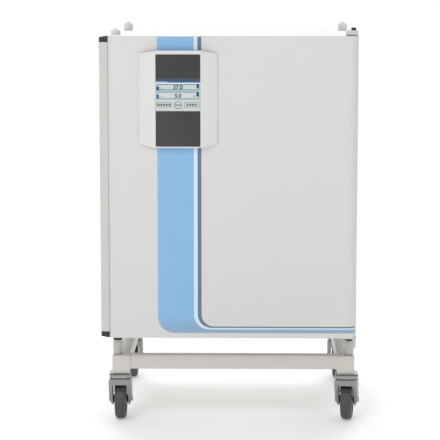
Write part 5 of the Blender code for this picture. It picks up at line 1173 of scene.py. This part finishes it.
rear_half = np.concatenate([[plate_half], plate_half - near, BOX_HALF + far, BOX_HALF - near])
rear_y = [[rear_plate - REAR_LIP], rear_plate - fold_far, rear_plate + fold_near, rear_face - fold_far]
rear_y = np.concatenate(rear_y)
rear_radius = [[REAR_CORNER], np.maximum(REAR_CORNER - fold_near, 0.002), BOX_CORNER + fold_far]
rear_radius = np.concatenate([*rear_radius, BOX_CORNER - fold_near])


def rear_rings(half, radius, y):
    """Rounded rectangles about the cover's middle, each at its own depth."""
    (left, bottom), (right, top) = (rear_middle - half).T, (rear_middle + half).T
    return stood(rectangles(left, right, bottom, top, radius, 8), y, "y")


def pierced(name, loops, middle_y, thickness):
    """A flat sheet across the depth: the first loop is its outline and the others are holes in it."""
    curve = bpy.data.curves.new(name, "CURVE")
    curve.dimensions = "2D"
    curve.fill_mode = "BOTH"
    curve.extrude = thickness / 2
    for loop in loops:
        spline = curve.splines.new("POLY")
        spline.points.add(len(loop) - 1)
        spline.points.foreach_set("co", np.pad(loop, ((0, 0), (0, 2))).astype(np.float32).ravel())
        spline.use_cyclic_u = True
    return finished(name, upright(name, curve, 0.0, middle_y, 0.0, 1))


def middle_of(node):
    """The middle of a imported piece's box, seen from behind."""
    low, high = extent(node)
    return ((low + high) / 2)[[0, 2]]


def slot_outline(node, size):
    """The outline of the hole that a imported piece's body passes through."""
    return filleted(middle_of(node) + oblong(-size / 2, size / 2), 0.0008, 4)


outside = rear_rings(rear_half, rear_radius, rear_y)
inside = rear_rings(rear_half - REAR_SHEET, np.maximum(rear_radius - REAR_SHEET, 0.0008), rear_y - REAR_SHEET)
rear_skin = skin("rear_skin", np.concatenate([outside, inside[::-1], outside[:1]]))
dressed(rear_skin, casing_white, "cabinet", "white_paint", ["rear_cover"])

louvres = []
for side in (-1, 1):
    louvre_x = rear_middle[0] + side * (LOUVRE_GAP + LOUVRE_WIDTH / 2)
    louvres += [(louvre_x, LOUVRE_TOP - row * LOUVRE_PITCH) for row in range(LOUVRE_ROWS)]
holes = []
for x, z in louvres:
    slot = oblong((x - LOUVRE_WIDTH / 2, z - LOUVRE_SLOT), (x + LOUVRE_WIDTH / 2, z))
    holes.append(filleted(slot, 0.0028, 5))
holes += [slot_outline("power_inlet", INLET_HOLE), slot_outline("power_switch", SWITCH_HOLE)]
holes.append(middle_of("port_stopper") + (PORT_BORE + PORT_WALL) * unit_circle(48))
holes.append(middle_of("gas_fitting") + GAS_HOLE * unit_circle(48))
face_loops = [outside[-1][:, [0, 2]], *holes]
service_face = pierced("service_face", face_loops, rear_face - REAR_SHEET / 2, REAR_SHEET)
dressed(service_face, casing_white, "cabinet", "white_paint")

across = np.linspace(-1, 1, 41)
down = np.linspace(0, 1, 9)[:, None]
bulge = (1 - np.abs(across) ** 7) ** 0.4
for number, (x, z) in enumerate(louvres):
    hood_x = np.broadcast_to(x + across * (LOUVRE_WIDTH / 2 + HOOD_LAP), (9, 41))
    hood_y = rear_face + HOOD_AIR + HOOD_DEPTH * bulge * np.sin(down * math.pi / 2)
    hood_z = np.broadcast_to(z + HOOD_RISE - down * (LOUVRE_SLOT + HOOD_LAP), (9, 41))
    hood = skin(f"louvre_hood_{number}", np.stack([hood_x, hood_y, hood_z], -1), around=False)
    dressed(walled(hood, HOOD_SHEET), casing_white, "cabinet", "white_paint")

port_x, port_z = middle_of("port_stopper")
sleeve = oblong((PORT_BORE, rear_low[1]), (PORT_BORE + PORT_WALL, rear_face))
sleeve = turned("port_sleeve", filleted(sleeve, 0.0004, 4), (port_x, 0.0, port_z), "y", closed=True)
dressed(sleeve, casing_white, "cabinet", "white_paint")

screw_zinc = coating("screw zinc", (178, 179, 177), 0.34, 0.6, relief=0.00001, mottle=0.03)
screw_profile = [(0, 0.0010), (0.0013, 0.0012), (0.0013, 0.0025)]
screw_profile += [(0.0036, 0.0023), (0.0042, 0.0001), (0, 0.0001)]
screw_profile = softened_profile(screw_profile, [0.0002, 0.0002, 0.0008, 0.0002])
screw_out = (plate_half + BOX_HALF) / 2
(screw_left, screw_low), (screw_right, screw_high) = rear_middle - screw_out, rear_middle + screw_out
screws = [(x, z) for x in (screw_left, screw_right) for z in np.linspace(screw_low, screw_high, 5)]
screws += [(rear_middle[0] + SCREW_PITCH * step, z) for step in (-1, 0, 1) for z in (screw_low, screw_high)]
for number, (x, z) in enumerate(screws):
    screw = turned(f"rear_screw_{number}", screw_profile, (x, rear_plate, z), "y", 32)
    dressed(screw, screw_zinc, "cabinet", "grey_metal")


# At the back: the brass gas fitting, the mains inlet and the rocker switch beside it.
brass = coating("brass", (196, 164, 98), 0.28, 1.0, (1, 9, 1), relief=0.00001, mottle=0.05)
tidied("gas_barb", "gas_fitting", brass, "cabinet", "brass")
tidied("mains_inlet", "power_inlet", cap_black, "cabinet", "black_plastic", 0.0005)
tidied("rocker_key", "power_switch", cap_black, "rocker", "black_plastic", 0.0003)
